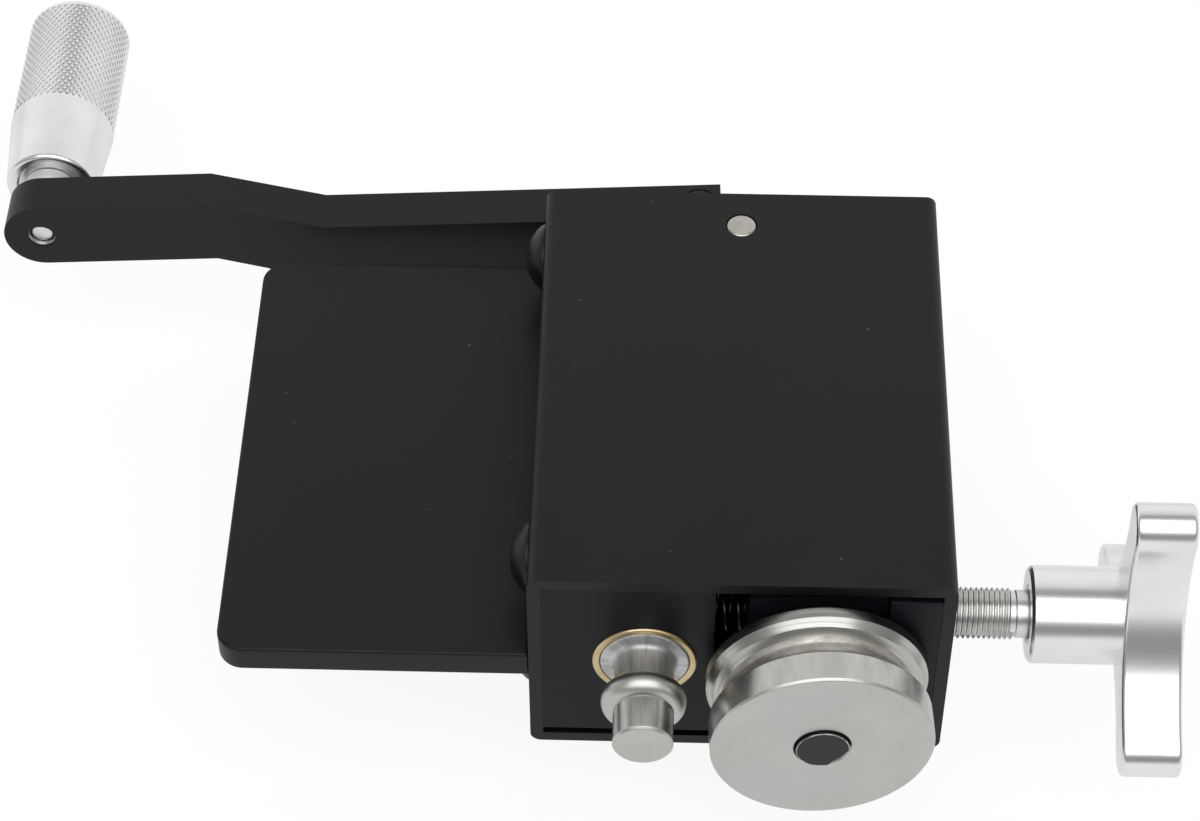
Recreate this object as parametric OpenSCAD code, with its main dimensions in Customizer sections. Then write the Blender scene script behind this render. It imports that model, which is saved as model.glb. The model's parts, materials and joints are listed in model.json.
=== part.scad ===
// Hand cranked tube beader. A bead roller on a cranked shaft works against a grooved roller on a
// swinging block, which an adjusting screw closes and a coil spring opens.
// Millimetres. The origin is the centre of the housing's bottom face, +X right, +Y back, +Z up.

/* [Housing] */
// Width of the rectangular tube
housing_width = 101.6; // [98:0.1:120]
// Depth of the tube from front to back
housing_depth = 130; // [125:1:160]
// Height of the tube
housing_height = 63.5; // [62:0.1:80]
// Wall thickness of the tube
housing_wall = 3.2; // [2.8:0.1:4]
// Outer corner radius of the tube
housing_corner_r = 2.8; // [1:0.1:5]

/* [Vise plate] */
// Reach of the plate from the housing's left wall
plate_reach = 76; // [40:0.5:120]
// Thickness of the plate
plate_thickness = 8; // [5:0.5:10]
// Height of the plate's underside above the base
plate_underside = 26.7; // [26:0.1:28]
// Radius of the plate's free corners
plate_corner_r = 6.4; // [1:0.1:20]
// Leg of the weld under the plate
weld_leg = 3.5; // [2:0.5:4]
// Bare length at each end of the weld
weld_inset = 8; // [0:1:30]

/* [Drive shaft] */
// Height of both shafts above the base
shaft_height = 33.5; // [32:0.1:35]
// Diameter of the front journal
drive_journal_d = 21.6; // [20:0.1:22]
// Diameter of the shaft between its bushes
drive_body_d = 19; // [17:0.1:19.5]
// Diameter of the rear journal
drive_rear_d = 16; // [14:0.1:16.5]
// Diameter of the stub that carries the crank
drive_stub_d = 12.7; // [10:0.1:13.5]
// Length of the stub that shows behind the arm
drive_stub_proud = 1; // [0:0.1:3]

/* [Bead roller] */
// Diameter of the neck behind the bead
neck_d = 14.4; // [10:0.1:16]
// Diameter over the bead
bead_d = 20.7; // [19:0.1:21.4]
// Radius of the bead's round crest
bead_crest_r = 3.5; // [2.5:0.1:4]
// Distance of the bead's middle in front of the housing
bead_setout = 12.2; // [11:0.1:14]
// Diameter of the nose in front of the bead
nose_d = 14.6; // [10:0.1:16]
// Distance of the nose's end in front of the housing
nose_setout = 25.2; // [20:0.1:30]
// Chamfer on the nose
nose_chamfer = 0.8; // [0.2:0.1:2]

/* [Drive block] */
// Distance of the block's right face from the drive shaft
drive_block_side = 16.6; // [16:0.1:17]
// Gap under the block
drive_block_gap = 2.2; // [1:0.1:4]
// Length of the front bush
drive_bush_length = 26; // [15:1:40]
// Wall of the front bush
drive_bush_wall = 1.9; // [1:0.1:2.2]
// Length of the front bush left standing proud
drive_bush_proud = 0.6; // [0:0.1:2]
// Length of the rear bush
rear_bush_length = 26; // [15:1:40]
// Wall of the rear bush
rear_bush_wall = 2; // [1:0.1:2.5]
// Length of the collar behind the block
collar_length = 9.4; // [6:0.1:9.4]
// Diameter of the collar
collar_d = 26; // [24:0.5:32]

/* [Swing block] */
// Width of the swinging block
swing_width = 32.7; // [31:0.1:34]
// Distance of the pivot pin to the left of the grooved roller's axis
pin_offset = 11.9; // [11.5:0.1:13]
// Distance of the pivot pin from the housing's back
pin_inset = 11.5; // [10:0.5:14]
// Diameter of the pivot pin
pin_d = 8; // [6:0.1:8.4]
// Length of the pivot lug along the housing
lug_length = 17; // [15:0.5:18]
// Metal left beside the pin in the lug
lug_wall = 4.5; // [3:0.1:4.6]
// Diameter of the two pivot washers
pivot_washer_d = 17; // [14:0.5:18]
// Gap above and below the block, which the washers fill
pivot_gap = 2.2; // [1.5:0.1:3]
// Angle of the block from closed to open
swing_open = 3.15; // [2:0.05:3.2]
// Room left around the lug in the drive block
lug_room = 2; // [1:0.1:3]

/* [Grooved roller] */
// Diameter of the roller
roller_d = 53.4; // [50:0.1:54]
// Gap between the roller and the housing's front
roller_gap = 3.4; // [2.6:0.1:4]
// Width of the flange behind the groove
roller_back_flange = 3.8; // [3:0.1:5]
// Width of the rim in front of the groove
roller_front_rim = 8.2; // [5:0.1:12]
// Width of the round groove
groove_width = 10; // [8.8:0.1:10.4]
// Depth of the groove
groove_depth = 4.3; // [3.8:0.1:4.8]
// Chamfer on the roller's edges
roller_chamfer = 0.8; // [0.2:0.1:1.5]
// Gap left between the rollers when they are closed
closed_gap = 0.6; // [0.4:0.1:2]

/* [Idler shaft] */
// Diameter of the shaft's journal
idler_d = 16; // [14:0.1:16.5]
// Diameter of the stub that carries the roller
idler_stub_d = 12.7; // [10:0.1:13.5]
// Depth of the flat on the stub
idler_flat = 1.3; // [0.8:0.1:1.4]
// Direction of the flat, from the right and upwards
idler_flat_angle = -41; // [-90:1:-41]
// Length of the stub that shows in front of the roller
idler_proud = 1.7; // [0:0.1:2.5]
// Length of the front bush
idler_front_bush = 24; // [15:1:30]
// Length of the rear bush
idler_rear_bush = 26; // [15:1:30]
// Distance of the rear bush's back end from the housing's front
idler_bush_end = 88; // [70:1:90]
// Wall of both bushes
idler_bush_wall = 2; // [1.5:0.1:2.2]
// Diameter of the thrust washer behind the roller
thrust_washer_d = 26; // [22:0.5:30]
// Thickness of the retaining ring
ring_thickness = 1.2; // [0.8:0.1:1.6]
// Depth of the groove that the retaining ring sits in
ring_seat = 1; // [0.6:0.1:1.4]
// Length of the pocket that the ring is fitted through
ring_pocket = 10; // [6:0.5:12]
// Length of shaft behind the ring
ring_tail = 1.5; // [1:0.1:3]

/* [Adjuster] */
// Diameter of the adjusting screw
screw_d = 12.7; // [12:0.1:13]
// Lead of the screw's thread
screw_pitch = 1.27; // [1:0.01:1.75]
// Distance of the screw behind the housing's front
screw_setback = 16.7; // [15:0.1:19]
// Thickness of the threaded block
nut_thickness = 12.48; // [12:0.01:14]
// Gap between the threaded block and the opened swing block
nut_gap = 0.4; // [0.3:0.1:1]
// Length of the threaded block along the housing
nut_length = 33.4; // [32:0.1:40]
// Length of screw between the housing and the knob with the rollers open
screw_exposed = 19.6; // [12:0.1:26]
// Diameter of the plain relief beside the knob
relief_d = 10.6; // [8:0.1:11]
// Length of the plain relief
relief_length = 3; // [1:0.1:5]
// Diameter of the thrust pad
pad_d = 10.8; // [9:0.1:11]
// Length of the thrust pad
pad_length = 8; // [7:0.1:10]
// Diameter of the pilot that turns in the pad
pilot_d = 6; // [4:0.1:7]
// Length of the pilot
pilot_length = 4; // [2:0.1:5]

/* [Star knob] */
// Radius over the lobes
knob_r = 39.2; // [36:0.1:45]
// Radius of the valleys between the lobes
knob_valley_r = 13; // [12.6:0.1:16]
// Radius of the concave sides
knob_side_r = 40; // [36:1:60]
// Thickness of the lobes
knob_thickness = 14.6; // [8:0.5:20]
// Direction of the first lobe, from the back and upwards
knob_angle = 89; // [0:1:120]
// Diameter of the hub
hub_d = 24; // [20:0.1:25]
// Length of the hub
hub_length = 22; // [14:0.5:30]
// Chamfer on the hub
hub_chamfer = 1.2; // [0.4:0.1:2]
// Depth that the screw's shank goes into the knob
shank_depth = 26; // [15:1:30]

/* [Crank] */
// Distance between the drive shaft and the grip's spindle
crank_r = 168.8; // [140:0.1:200]
// Thickness of the arm
arm_thickness = 12.5; // [10:0.1:14]
// Width of the arm
arm_width = 20.7; // [19:0.1:24]
// Gap between the housing's back and the arm
arm_gap = 9.7; // [9.7:0.1:14]
// Length of the arm past the drive shaft
arm_tail = 18.3; // [17:0.1:22]
// Distance of the first bend from the drive shaft
bend_start = 88.8; // [40:0.1:100]
// Length of the sloping stretch between the bends
bend_run = 32.6; // [20:0.1:50]
// Distance that the bends set the arm back
bend_step = 9.6; // [0:0.1:20]
// Droop of the arm's outer end at rest
crank_tilt = 3.6; // [0:0.1:6]
// Width of the saw cut in the clamped end
slit_width = 1.6; // [1:0.1:3]
// Distance of the clamp screw from the drive shaft
clamp_screw_x = 12.5; // [11.5:0.1:13]

/* [Grip] */
// Diameter of the grip's knurled stretch
grip_d = 29; // [26:0.1:32]
// Diameter of the grip's end beside the arm
grip_near_d = 25; // [24:0.1:26]
// Length of the tapered stretch beside the arm
grip_taper = 24; // [12:0.5:36]
// Length of the grip
grip_length = 62; // [50:1:100]
// Radius of the grip's far edge
grip_end_r = 3; // [1:0.5:10]
// Gap between the arm and the grip
grip_gap = 7.2; // [1:0.1:10]
// Diameter of the counterbore in the grip
grip_bore_d = 19; // [17:0.1:19.5]
// Diameter of the spindle's neck beside the arm
spindle_neck_d = 14.4; // [12:0.1:15]
// Diameter of the waist behind the neck, in the mouth of the grip
spindle_waist_d = 10.6; // [9.8:0.1:11.4]
// Diameter of the spindle inside the grip
spindle_core_d = 9.5; // [8:0.1:11]
// Diameter of the spindle's tail in the arm
spindle_tail_d = 5.6; // [5:0.1:6.5]
// Diameter of the recess around the tail in the arm's front
tail_recess_d = 7.4; // [6.8:0.1:9]
// Depth of that recess, in which the tail ends
tail_sunk = 1.8; // [0.5:0.1:3]
// Length of grip left solid past the spindle
grip_solid_end = 10; // [6:0.5:15]
// Depth of the counterbore
grip_seat_depth = 8.4; // [7:0.1:12]
// Depth of the retaining ring in the counterbore
grip_ring_depth = 3.4; // [2:0.1:4]
// Depth of the groove that this ring sits in
grip_ring_seat = 0.6; // [0.4:0.1:1]

/* [Fasteners] */
// Diameter of the button head screws
button_d = 10; // [8:0.5:10]
// Diameter of a button head
button_head_d = 17.3; // [14:0.1:18]
// Height of a button head
button_head_h = 5.4; // [4:0.1:6]
// Distance kept between the button head screws and the drive shaft's axis
button_clear = 12.8; // [12.5:0.1:18]
// Height of the lower button head screws
button_low = 12.5; // [12:0.1:14]
// Height of the upper button head screws
button_high = 47.5; // [46:0.1:49]
// Distance of the front button head screws from the front
button_front = 20; // [15:0.5:30]
// Distance of the rear button head screws from the back
button_rear = 9; // [9:0.5:30]
// Diameter of the countersunk screws in the threaded block
flat_screw_d = 6; // [4:0.1:6]
// Diameter of a countersunk head
flat_head_d = 11; // [9:0.1:11]
// Length of a countersunk screw inside the threaded block
flat_screw_grip = 9; // [6:0.1:11]
// Distance of each countersunk screw above and below the adjusting screw
flat_screw_spread = 17; // [16:0.1:18]
// Diameter of the cap screw in the crank
cap_d = 5; // [4:0.1:5]
// Diameter of the cap screw's head
cap_head_d = 8.5; // [7:0.1:8.8]
// Height of the cap screw's head
cap_head_h = 5; // [4:0.1:5]
// Diameter of the set screws
set_screw_d = 5; // [4:0.1:6]
// Depth of a set screw under the face it goes in by
set_screw_sunk = 0.5; // [0.2:0.1:1]
// Depth of the roller's set screw under the roller's rim
roller_screw_sunk = 4; // [2:0.1:8]

/* [Return spring] */
// Outside diameter of the spring
spring_d = 12; // [9:0.1:12.4]
// Diameter of the spring wire
wire_d = 1.3; // [0.8:0.1:1.4]
// Number of curls
spring_curls = 3.375; // [3:0.125:4]
// Direction in which the spring starts, from the back and upwards
spring_start_angle = 80; // [0:5:355]
// Depth of the spring's seat in the drive block
spring_seat_fixed = 2; // [1:0.1:2]
// Depth of the spring's seat in the swing block
spring_seat_swing = 4; // [3:0.1:4.2]

/* [Fits] */
// Radial clearance of a shaft that turns
running_fit = 0.04; // [0.02:0.01:0.08]
// Radial clearance of a piece that is fixed
fixed_fit = 0.02; // [0.01:0.01:0.05]
// Gap between faces that move past each other
face_gap = 0.3; // [0.2:0.05:0.5]
// Radial clearance of a loose hole
loose_fit = 0.5; // [0.2:0.1:0.8]

/* [Hidden] */
$fn = 64;
// Amount by which a cut runs past the face that it opens
past = 1;
front_y = -housing_depth / 2;
back_y = housing_depth / 2;
left_in = housing_wall - housing_width / 2;
right_in = housing_width / 2 - housing_wall;
top_in = housing_height - housing_wall;

// Swing block with the rollers closed and their axes parallel, laid out from the threaded block
// so that its front corner is clear when it is open
nut_left = right_in - nut_thickness;
pin_y = back_y - pin_inset;
corner_x = pin_offset + swing_width / 2;
corner_y = pin_y - front_y;
pin_x = nut_left - nut_gap - corner_x * cos(swing_open) - corner_y * sin(swing_open);
idler_x = pin_x + pin_offset;
swing_left = idler_x - swing_width / 2;
swing_right = idler_x + swing_width / 2;
swing_bottom = housing_wall + pivot_gap;
swing_top = top_in - pivot_gap;
lug_left = pin_x - pin_d / 2 - lug_wall;

// Drive line, one roller gap to the left of the closed roller
drive_x = idler_x - nose_d / 2 - roller_d / 2 - closed_gap;
drive_bush_d = drive_journal_d + 2 * drive_bush_wall;
rear_bush_d = drive_rear_d + 2 * rear_bush_wall;
rear_bush_y = back_y - rear_bush_length;
drive_block_right = drive_x + drive_block_side;
drive_block_width = drive_block_right - left_in;
button_grip = drive_x - left_in - button_clear;
drive_block_bottom = housing_wall + drive_block_gap;
bead_y = front_y - bead_setout;
arm_y = back_y + arm_gap;

// Idler shaft and grooved roller
idler_bush_d = idler_d + 2 * idler_bush_wall;
ring_y = front_y + idler_bush_end + face_gap;
ring_d = idler_d + 2 * ring_seat;
idler_end_y = ring_y + ring_thickness + ring_tail;
roller_back_y = front_y - roller_gap;
roller_length = roller_back_flange + groove_width + roller_front_rim;
roller_front_y = roller_back_y - roller_length;
// Circle whose arc is the groove, from the groove's width and depth
groove_r = (pow(groove_width / 2, 2) + pow(groove_depth, 2)) / (2 * groove_depth);
groove_y = roller_back_y - roller_back_flange - groove_width / 2;

// Adjuster with the rollers open
screw_y = front_y + screw_setback;
screw_lever = pin_y - screw_y;
// A face of the swing block at the screw's depth, from where it is when closed
function opened(x) = pin_x + (x - pin_x + screw_lever * sin(swing_open)) / cos(swing_open);
pad_tip_x = opened(swing_right) + face_gap;
pad_back_x = pad_tip_x + pad_length;
screw_tip_x = pad_back_x + face_gap;
hub_x = housing_width / 2 + screw_exposed;
lobe_x = hub_x + hub_length;
screw_advance = opened(swing_right) - swing_right;
screw_turns = screw_advance / screw_pitch;

// Crank and grip, from the drive shaft's axis
arm_back_y = arm_y + arm_thickness;
handle_front_y = arm_y + bend_step;
handle_back_y = arm_back_y + bend_step;
grip_y = handle_back_y + grip_gap;

spring_start = drive_block_right - spring_seat_fixed;
spring_end = opened(swing_left + spring_seat_swing) - 1.5 * face_gap;

satin_black = [0.03, 0.03, 0.033];
black_block = [0.035, 0.037, 0.043];
bright_steel = [0.62, 0.61, 0.59];
zinc_steel = [0.5, 0.51, 0.5];
bronze = [0.72, 0.5, 0.2];
bare_aluminium = [0.78, 0.79, 0.8];
dark_steel = [0.08, 0.08, 0.085];

echo(button_grip = button_grip, screw_advance = screw_advance, turn_deg = 360 * screw_turns);
echo(pin = [pin_x, pin_y], drive_x = drive_x, idler_x = idler_x, spring_ends = [spring_start, spring_end]);

// A flat outline in x and z, drawn out backwards from y = 0
module along_y(length) {
    rotate([90, 0, 0]) translate([0, 0, -length]) linear_extrude(length) children();
}

// A profile of radius and y, turned about the Y axis
module turned_y() {
    rotate([-90, 0, 0]) rotate_extrude() children();
}

// A profile of radius and x, turned about the X axis
module turned_x() {
    rotate([0, 90, 0]) rotate_extrude() children();
}

module round_y(d, from, to) {
    translate([0, from, 0]) rotate([-90, 0, 0]) cylinder(d = d, h = to - from);
}

module round_x(d, from, to) {
    translate([from, 0, 0]) rotate([0, 90, 0]) cylinder(d = d, h = to - from);
}

// A tube about the Y axis
module sleeve_y(outer, inner, from, to) {
    difference() {
        round_y(outer, from, to);
        round_y(inner, from - past, to + past);
    }
}

module on_drive_axis() {
    translate([drive_x, 0, shaft_height]) children();
}

module on_crank() {
    on_drive_axis() rotate([0, -crank_tilt, 0]) children();
}

module on_screw_axis() {
    translate([0, screw_y, shaft_height]) children();
}

// Turns what is drawn closed to the open rest pose
module swung() {
    translate([pin_x, pin_y, 0]) rotate([0, 0, swing_open]) translate([-pin_x, -pin_y, 0]) children();
}

module on_idler_axis() {
    swung() translate([idler_x, 0, shaft_height]) children();
}

module hexagon_socket(across, depth) {
    cylinder(d = across / cos(30), h = depth, $fn = 6);
}

// A set screw along +Z, with its flat end at z = 0
module set_screw(length) {
    socket = 2.2;
    difference() {
        cylinder(d = set_screw_d, h = length);
        translate([0, 0, length - socket]) hexagon_socket(set_screw_d / 2, socket + past);
    }
}

// Places a button head screw's +Z out of the left wall at each of its holes
module at_button_screws() {
    for (y = [front_y + button_front, back_y - button_rear], z = [button_low, button_high])
        translate([-housing_width / 2, y, z]) rotate([0, -90, 0]) children();
}

// Places a countersunk screw's +Z out of the right wall at each of its holes
module at_flat_screws() {
    for (side = [-1, 1])
        translate([housing_width / 2, screw_y, shaft_height + side * flat_screw_spread])
            rotate([0, 90, 0]) children();
}

module flat_head(d, head) {
    depth = (head - d) / 2;
    translate([0, 0, -depth]) cylinder(d1 = d, d2 = head, h = depth);
}

module rounded_section(width, height, r) {
    translate([r - width / 2, 0]) square([width - 2 * r, height]);
    translate([-width / 2, r]) square([width, height - 2 * r]);
    for (x = [r - width / 2, width / 2 - r], z = [r, height - r])
        translate([x, z]) circle(r);
}

module housing() {
    color(satin_black) difference() {
        translate([0, front_y, 0]) along_y(housing_depth) difference() {
            rounded_section(housing_width, housing_height, housing_corner_r);
            translate([left_in, housing_wall]) square([right_in - left_in, top_in - housing_wall]);
        }
        translate([pin_x, pin_y, -past]) cylinder(d = pin_d + 2 * fixed_fit, h = housing_height + 2 * past);
        at_button_screws() translate([0, 0, -housing_wall - past])
            cylinder(d = button_d + 2 * loose_fit, h = housing_wall + 2 * past);
        at_flat_screws() {
            flat_head(flat_screw_d + 2 * fixed_fit, flat_head_d + 2 * fixed_fit);
            translate([0, 0, -fixed_fit]) cylinder(d = flat_head_d + 2 * fixed_fit, h = past);
            translate([0, 0, -housing_wall - past])
                cylinder(d = flat_screw_d + 2 * fixed_fit, h = housing_wall + past);
        }
        on_screw_axis() round_x(screw_d + 2 * loose_fit, right_in - past, housing_width / 2 + past);
    }
}

module vise_plate() {
    outer = -housing_width / 2 - plate_reach;
    color(satin_black) translate([0, 0, plate_underside]) linear_extrude(plate_thickness) {
        translate([outer + plate_corner_r, front_y]) square([plate_reach - plate_corner_r, housing_depth]);
        translate([outer, front_y + plate_corner_r])
            square([plate_reach, housing_depth - 2 * plate_corner_r]);
        for (y = [front_y + plate_corner_r, back_y - plate_corner_r])
            translate([outer + plate_corner_r, y]) circle(plate_corner_r);
    }
}

module plate_weld() {
    color(satin_black) translate([-housing_width / 2, front_y + weld_inset, plate_underside])
        along_y(housing_depth - 2 * weld_inset) polygon([[0, 0], [-weld_leg, 0], [0, -weld_leg]]);
}

module drive_block() {
    lug_room_y = pin_y - lug_length / 2 - lug_room;
    color(black_block) difference() {
        translate([left_in, front_y, drive_block_bottom])
            cube([drive_block_width, housing_depth, top_in - drive_block_bottom]);
        on_drive_axis() {
            round_y(drive_bush_d + 2 * fixed_fit, front_y - past, front_y + drive_bush_length);
            round_y(drive_body_d + 3 * loose_fit, front_y, rear_bush_y);
            round_y(rear_bush_d + 2 * fixed_fit, rear_bush_y - past, back_y + past);
        }
        translate([lug_left - 2 * loose_fit, lug_room_y, drive_block_bottom - past])
            cube([drive_block_width, housing_depth, housing_height]);
        at_button_screws() translate([0, 0, -housing_wall - button_grip - past])
            cylinder(d = button_d + 2 * fixed_fit, h = button_grip + 2 * past);
        on_screw_axis() round_x(spring_d + 2 * loose_fit, spring_start, drive_block_right + past);
    }
}

module drive_bush_front() {
    color(bronze) on_drive_axis()
        sleeve_y(drive_bush_d, drive_journal_d + 2 * running_fit, front_y - drive_bush_proud,
            front_y + drive_bush_length);
}

module drive_bush_rear() {
    color(bronze) on_drive_axis()
        sleeve_y(rear_bush_d, drive_rear_d + 2 * running_fit, rear_bush_y, back_y);
}

module button_screw() {
    edge = 1;
    socket = 3;
    crown = button_head_h - edge;
    crown_r = (pow(button_head_d / 2, 2) + crown * crown) / (2 * crown);
    difference() {
        union() {
            rotate_extrude() intersection() {
                translate([0, button_head_h - crown_r]) circle(crown_r);
                square([button_head_d / 2, button_head_h]);
            }
            translate([0, 0, -housing_wall - button_grip])
                cylinder(d = button_d, h = housing_wall + button_grip + edge);
        }
        translate([0, 0, button_head_h - socket]) hexagon_socket(button_d * 0.6, socket + past);
    }
}

module block_screws() {
    color(dark_steel) at_button_screws() button_screw();
}

// Half section of the drive shaft: bead roller, journals and crank stub
module drive_profile() {
    nose_y = front_y - nose_setout;
    journal_y = front_y - drive_bush_proud;
    shoulder_y = front_y + drive_bush_length - face_gap;
    rear_y = rear_bush_y - face_gap;
    stub_end = arm_back_y + drive_stub_proud;
    polygon([
        [0, nose_y], [nose_d / 2 - nose_chamfer, nose_y], [nose_d / 2, nose_y + nose_chamfer],
        [nose_d / 2, bead_y], [neck_d / 2, bead_y], [neck_d / 2, journal_y],
        [drive_journal_d / 2, journal_y], [drive_journal_d / 2, shoulder_y],
        [drive_body_d / 2, shoulder_y], [drive_body_d / 2, rear_y],
        [drive_rear_d / 2, rear_y], [drive_rear_d / 2, arm_y],
        [drive_stub_d / 2, arm_y], [drive_stub_d / 2, stub_end], [0, stub_end]
    ]);
    translate([bead_d / 2 - bead_crest_r, bead_y]) circle(bead_crest_r);
}

module drive_shaft() {
    color(bright_steel) on_crank() turned_y() drive_profile();
}

module drive_collar() {
    from = arm_y - collar_length;
    color(zinc_steel) on_crank() difference() {
        sleeve_y(collar_d, drive_rear_d + 2 * fixed_fit, from, arm_y);
        translate([0, from + collar_length / 2, 0]) cylinder(d = set_screw_d + 2 * fixed_fit, h = collar_d);
    }
}

module collar_set_screw() {
    color(dark_steel) on_crank() translate([0, arm_y - collar_length / 2, drive_rear_d / 2 + fixed_fit])
        set_screw(collar_d / 2 - drive_rear_d / 2 - set_screw_sunk);
}

module crank_arm() {
    tip = crank_r + arm_width / 2;
    bend_end = bend_start + bend_run;
    seat_z = arm_width / 2 - cap_head_h;
    color(satin_black) on_crank() difference() {
        intersection() {
            translate([0, 0, -arm_width / 2]) linear_extrude(arm_width) polygon([
                [arm_tail, arm_y], [-bend_start, arm_y], [-bend_end, handle_front_y], [-tip, handle_front_y],
                [-tip, handle_back_y], [-bend_end, handle_back_y], [-bend_start, arm_back_y],
                [arm_tail, arm_back_y]
            ]);
            translate([0, arm_y - past, 0]) along_y(bend_step + arm_thickness + 2 * past) {
                translate([-crank_r, -arm_width / 2]) square([crank_r + arm_tail, arm_width]);
                translate([-crank_r, 0]) circle(d = arm_width);
            }
        }
        round_y(drive_stub_d + 2 * fixed_fit, arm_y - past, arm_back_y + past);
        translate([0, arm_y - past, -slit_width / 2])
            cube([arm_tail + past, arm_thickness + 2 * past, slit_width]);
        translate([clamp_screw_x, arm_y + arm_thickness / 2, 0]) {
            translate([0, 0, -arm_width]) cylinder(d = cap_d + 2 * fixed_fit, h = 2 * arm_width);
            translate([0, 0, seat_z]) cylinder(d = cap_head_d + loose_fit, h = cap_head_h + past);
        }
        translate([-crank_r, 0, 0]) {
            round_y(spindle_tail_d + 2 * fixed_fit, handle_front_y - past, handle_back_y + past);
            round_y(tail_recess_d, handle_front_y - past, handle_front_y + tail_sunk);
        }
    }
}

module crank_clamp_screw() {
    socket = 2.6;
    seat_z = arm_width / 2 - cap_head_h;
    color(dark_steel) on_crank() translate([clamp_screw_x, arm_y + arm_thickness / 2, 0]) difference() {
        union() {
            translate([0, 0, seat_z]) cylinder(d = cap_head_d, h = cap_head_h);
            translate([0, 0, -arm_width / 2]) cylinder(d = cap_d, h = seat_z + arm_width / 2 + past);
        }
        translate([0, 0, arm_width / 2 - socket]) hexagon_socket(cap_d * 0.8, socket + past);
    }
}

// The spindle's flange is trapped in the grip's counterbore by the retaining ring
module handle_spindle() {
    flange_y = grip_y + grip_ring_depth + ring_thickness + face_gap;
    flange_end = grip_y + grip_seat_depth - face_gap;
    core_end = grip_y + grip_length - grip_solid_end - face_gap;
    tail_y = handle_front_y + tail_sunk;
    color(zinc_steel) on_crank() translate([-crank_r, 0, 0]) turned_y() polygon([
        [0, tail_y], [spindle_tail_d / 2, tail_y], [spindle_tail_d / 2, handle_back_y],
        [spindle_neck_d / 2, handle_back_y], [spindle_neck_d / 2, grip_y],
        [spindle_waist_d / 2, grip_y], [spindle_waist_d / 2, flange_y],
        [grip_bore_d / 2 - face_gap, flange_y], [grip_bore_d / 2 - face_gap, flange_end],
        [spindle_core_d / 2, flange_end], [spindle_core_d / 2, core_end], [0, core_end]
    ]);
}

module handle_grip() {
    end_y = grip_y + grip_length;
    mouth = 1;
    color(bare_aluminium) on_crank() translate([-crank_r, 0, 0]) difference() {
        turned_y() {
            polygon([
                [0, grip_y], [grip_near_d / 2 - mouth, grip_y], [grip_near_d / 2, grip_y + mouth],
                [grip_d / 2, grip_y + grip_taper], [grip_d / 2, end_y - grip_end_r],
                [grip_d / 2 - grip_end_r, end_y], [0, end_y]
            ]);
            intersection() {
                translate([grip_d / 2 - grip_end_r, end_y - grip_end_r]) circle(grip_end_r);
                translate([0, end_y - grip_end_r - past]) square([grip_d, grip_end_r + 2 * past]);
            }
        }
        round_y(grip_bore_d, grip_y - past, grip_y + grip_seat_depth);
        round_y(spindle_core_d + 2 * running_fit, grip_y, end_y - grip_solid_end);
        round_y(grip_bore_d + 2 * grip_ring_seat, grip_y + grip_ring_depth,
            grip_y + grip_ring_depth + ring_thickness);
    }
}

module grip_retaining_ring() {
    from = grip_y + grip_ring_depth;
    color(dark_steel) on_crank() translate([-crank_r, 0, 0])
        sleeve_y(grip_bore_d + 2 * grip_ring_seat - 2 * fixed_fit, spindle_neck_d + 4 * face_gap,
            from + fixed_fit, from + ring_thickness - fixed_fit);
}

module swing_block() {
    ring_room = front_y + idler_bush_end;
    color(black_block) swung() difference() {
        translate([0, 0, swing_bottom]) linear_extrude(swing_top - swing_bottom) {
            translate([swing_left, front_y])
                square([swing_width, pin_y + lug_length / 2 - front_y]);
            translate([lug_left, pin_y - lug_length / 2]) square([swing_right - lug_left, lug_length]);
        }
        translate([pin_x, pin_y, 0]) cylinder(d = pin_d + 2 * running_fit, h = housing_height);
        translate([idler_x, 0, shaft_height]) {
            round_y(idler_bush_d + 2 * fixed_fit, front_y - past, ring_room + past);
            translate([-idler_bush_d / 2, ring_room, -idler_bush_d / 2])
                cube([swing_width, ring_pocket, idler_bush_d]);
        }
        translate([0, screw_y, shaft_height])
            round_x(spring_d + 2 * loose_fit, swing_left - past, swing_left + spring_seat_swing);
    }
}

module pivot_pin() {
    chamfer = 0.5;
    color(bright_steel) translate([pin_x, pin_y, 0]) rotate_extrude() polygon([
        [0, 0], [pin_d / 2 - chamfer, 0], [pin_d / 2, chamfer], [pin_d / 2, housing_height - chamfer],
        [pin_d / 2 - chamfer, housing_height], [0, housing_height]
    ]);
}

module pivot_washers() {
    thickness = pivot_gap - face_gap;
    color(bronze) for (z = [housing_wall, top_in - thickness])
        translate([pin_x, pin_y, z]) difference() {
            cylinder(d = pivot_washer_d, h = thickness);
            translate([0, 0, -past]) cylinder(d = pin_d + 2 * fixed_fit, h = thickness + 2 * past);
        }
}

// What a flat takes off the stub, or off the bore that fits it when grown by the fit
module flat_side(from, to, fit) {
    rotate([0, -idler_flat_angle, 0]) translate([idler_stub_d / 2 - idler_flat + fit, from, -idler_stub_d])
        cube([idler_stub_d, to - from, 2 * idler_stub_d]);
}

module idler_shaft() {
    stub_end = roller_front_y - idler_proud;
    color(dark_steel) on_idler_axis() difference() {
        union() {
            round_y(idler_d, roller_back_y, idler_end_y);
            round_y(idler_stub_d, stub_end, roller_back_y + past);
        }
        flat_side(stub_end - past, roller_back_y, 0);
        sleeve_y(idler_d + 2 * past, idler_d - 2 * ring_seat, ring_y, ring_y + ring_thickness);
    }
}

module idler_bush_front() {
    color(bronze) on_idler_axis()
        sleeve_y(idler_bush_d, idler_d + 2 * running_fit, front_y, front_y + idler_front_bush);
}

module idler_bush_rear() {
    end_y = front_y + idler_bush_end;
    color(bronze) on_idler_axis()
        sleeve_y(idler_bush_d, idler_d + 2 * running_fit, end_y - idler_rear_bush, end_y);
}

module idler_thrust_washer() {
    color(bronze) on_idler_axis()
        sleeve_y(thrust_washer_d, idler_d + 2 * fixed_fit, roller_back_y, front_y - face_gap);
}

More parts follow.
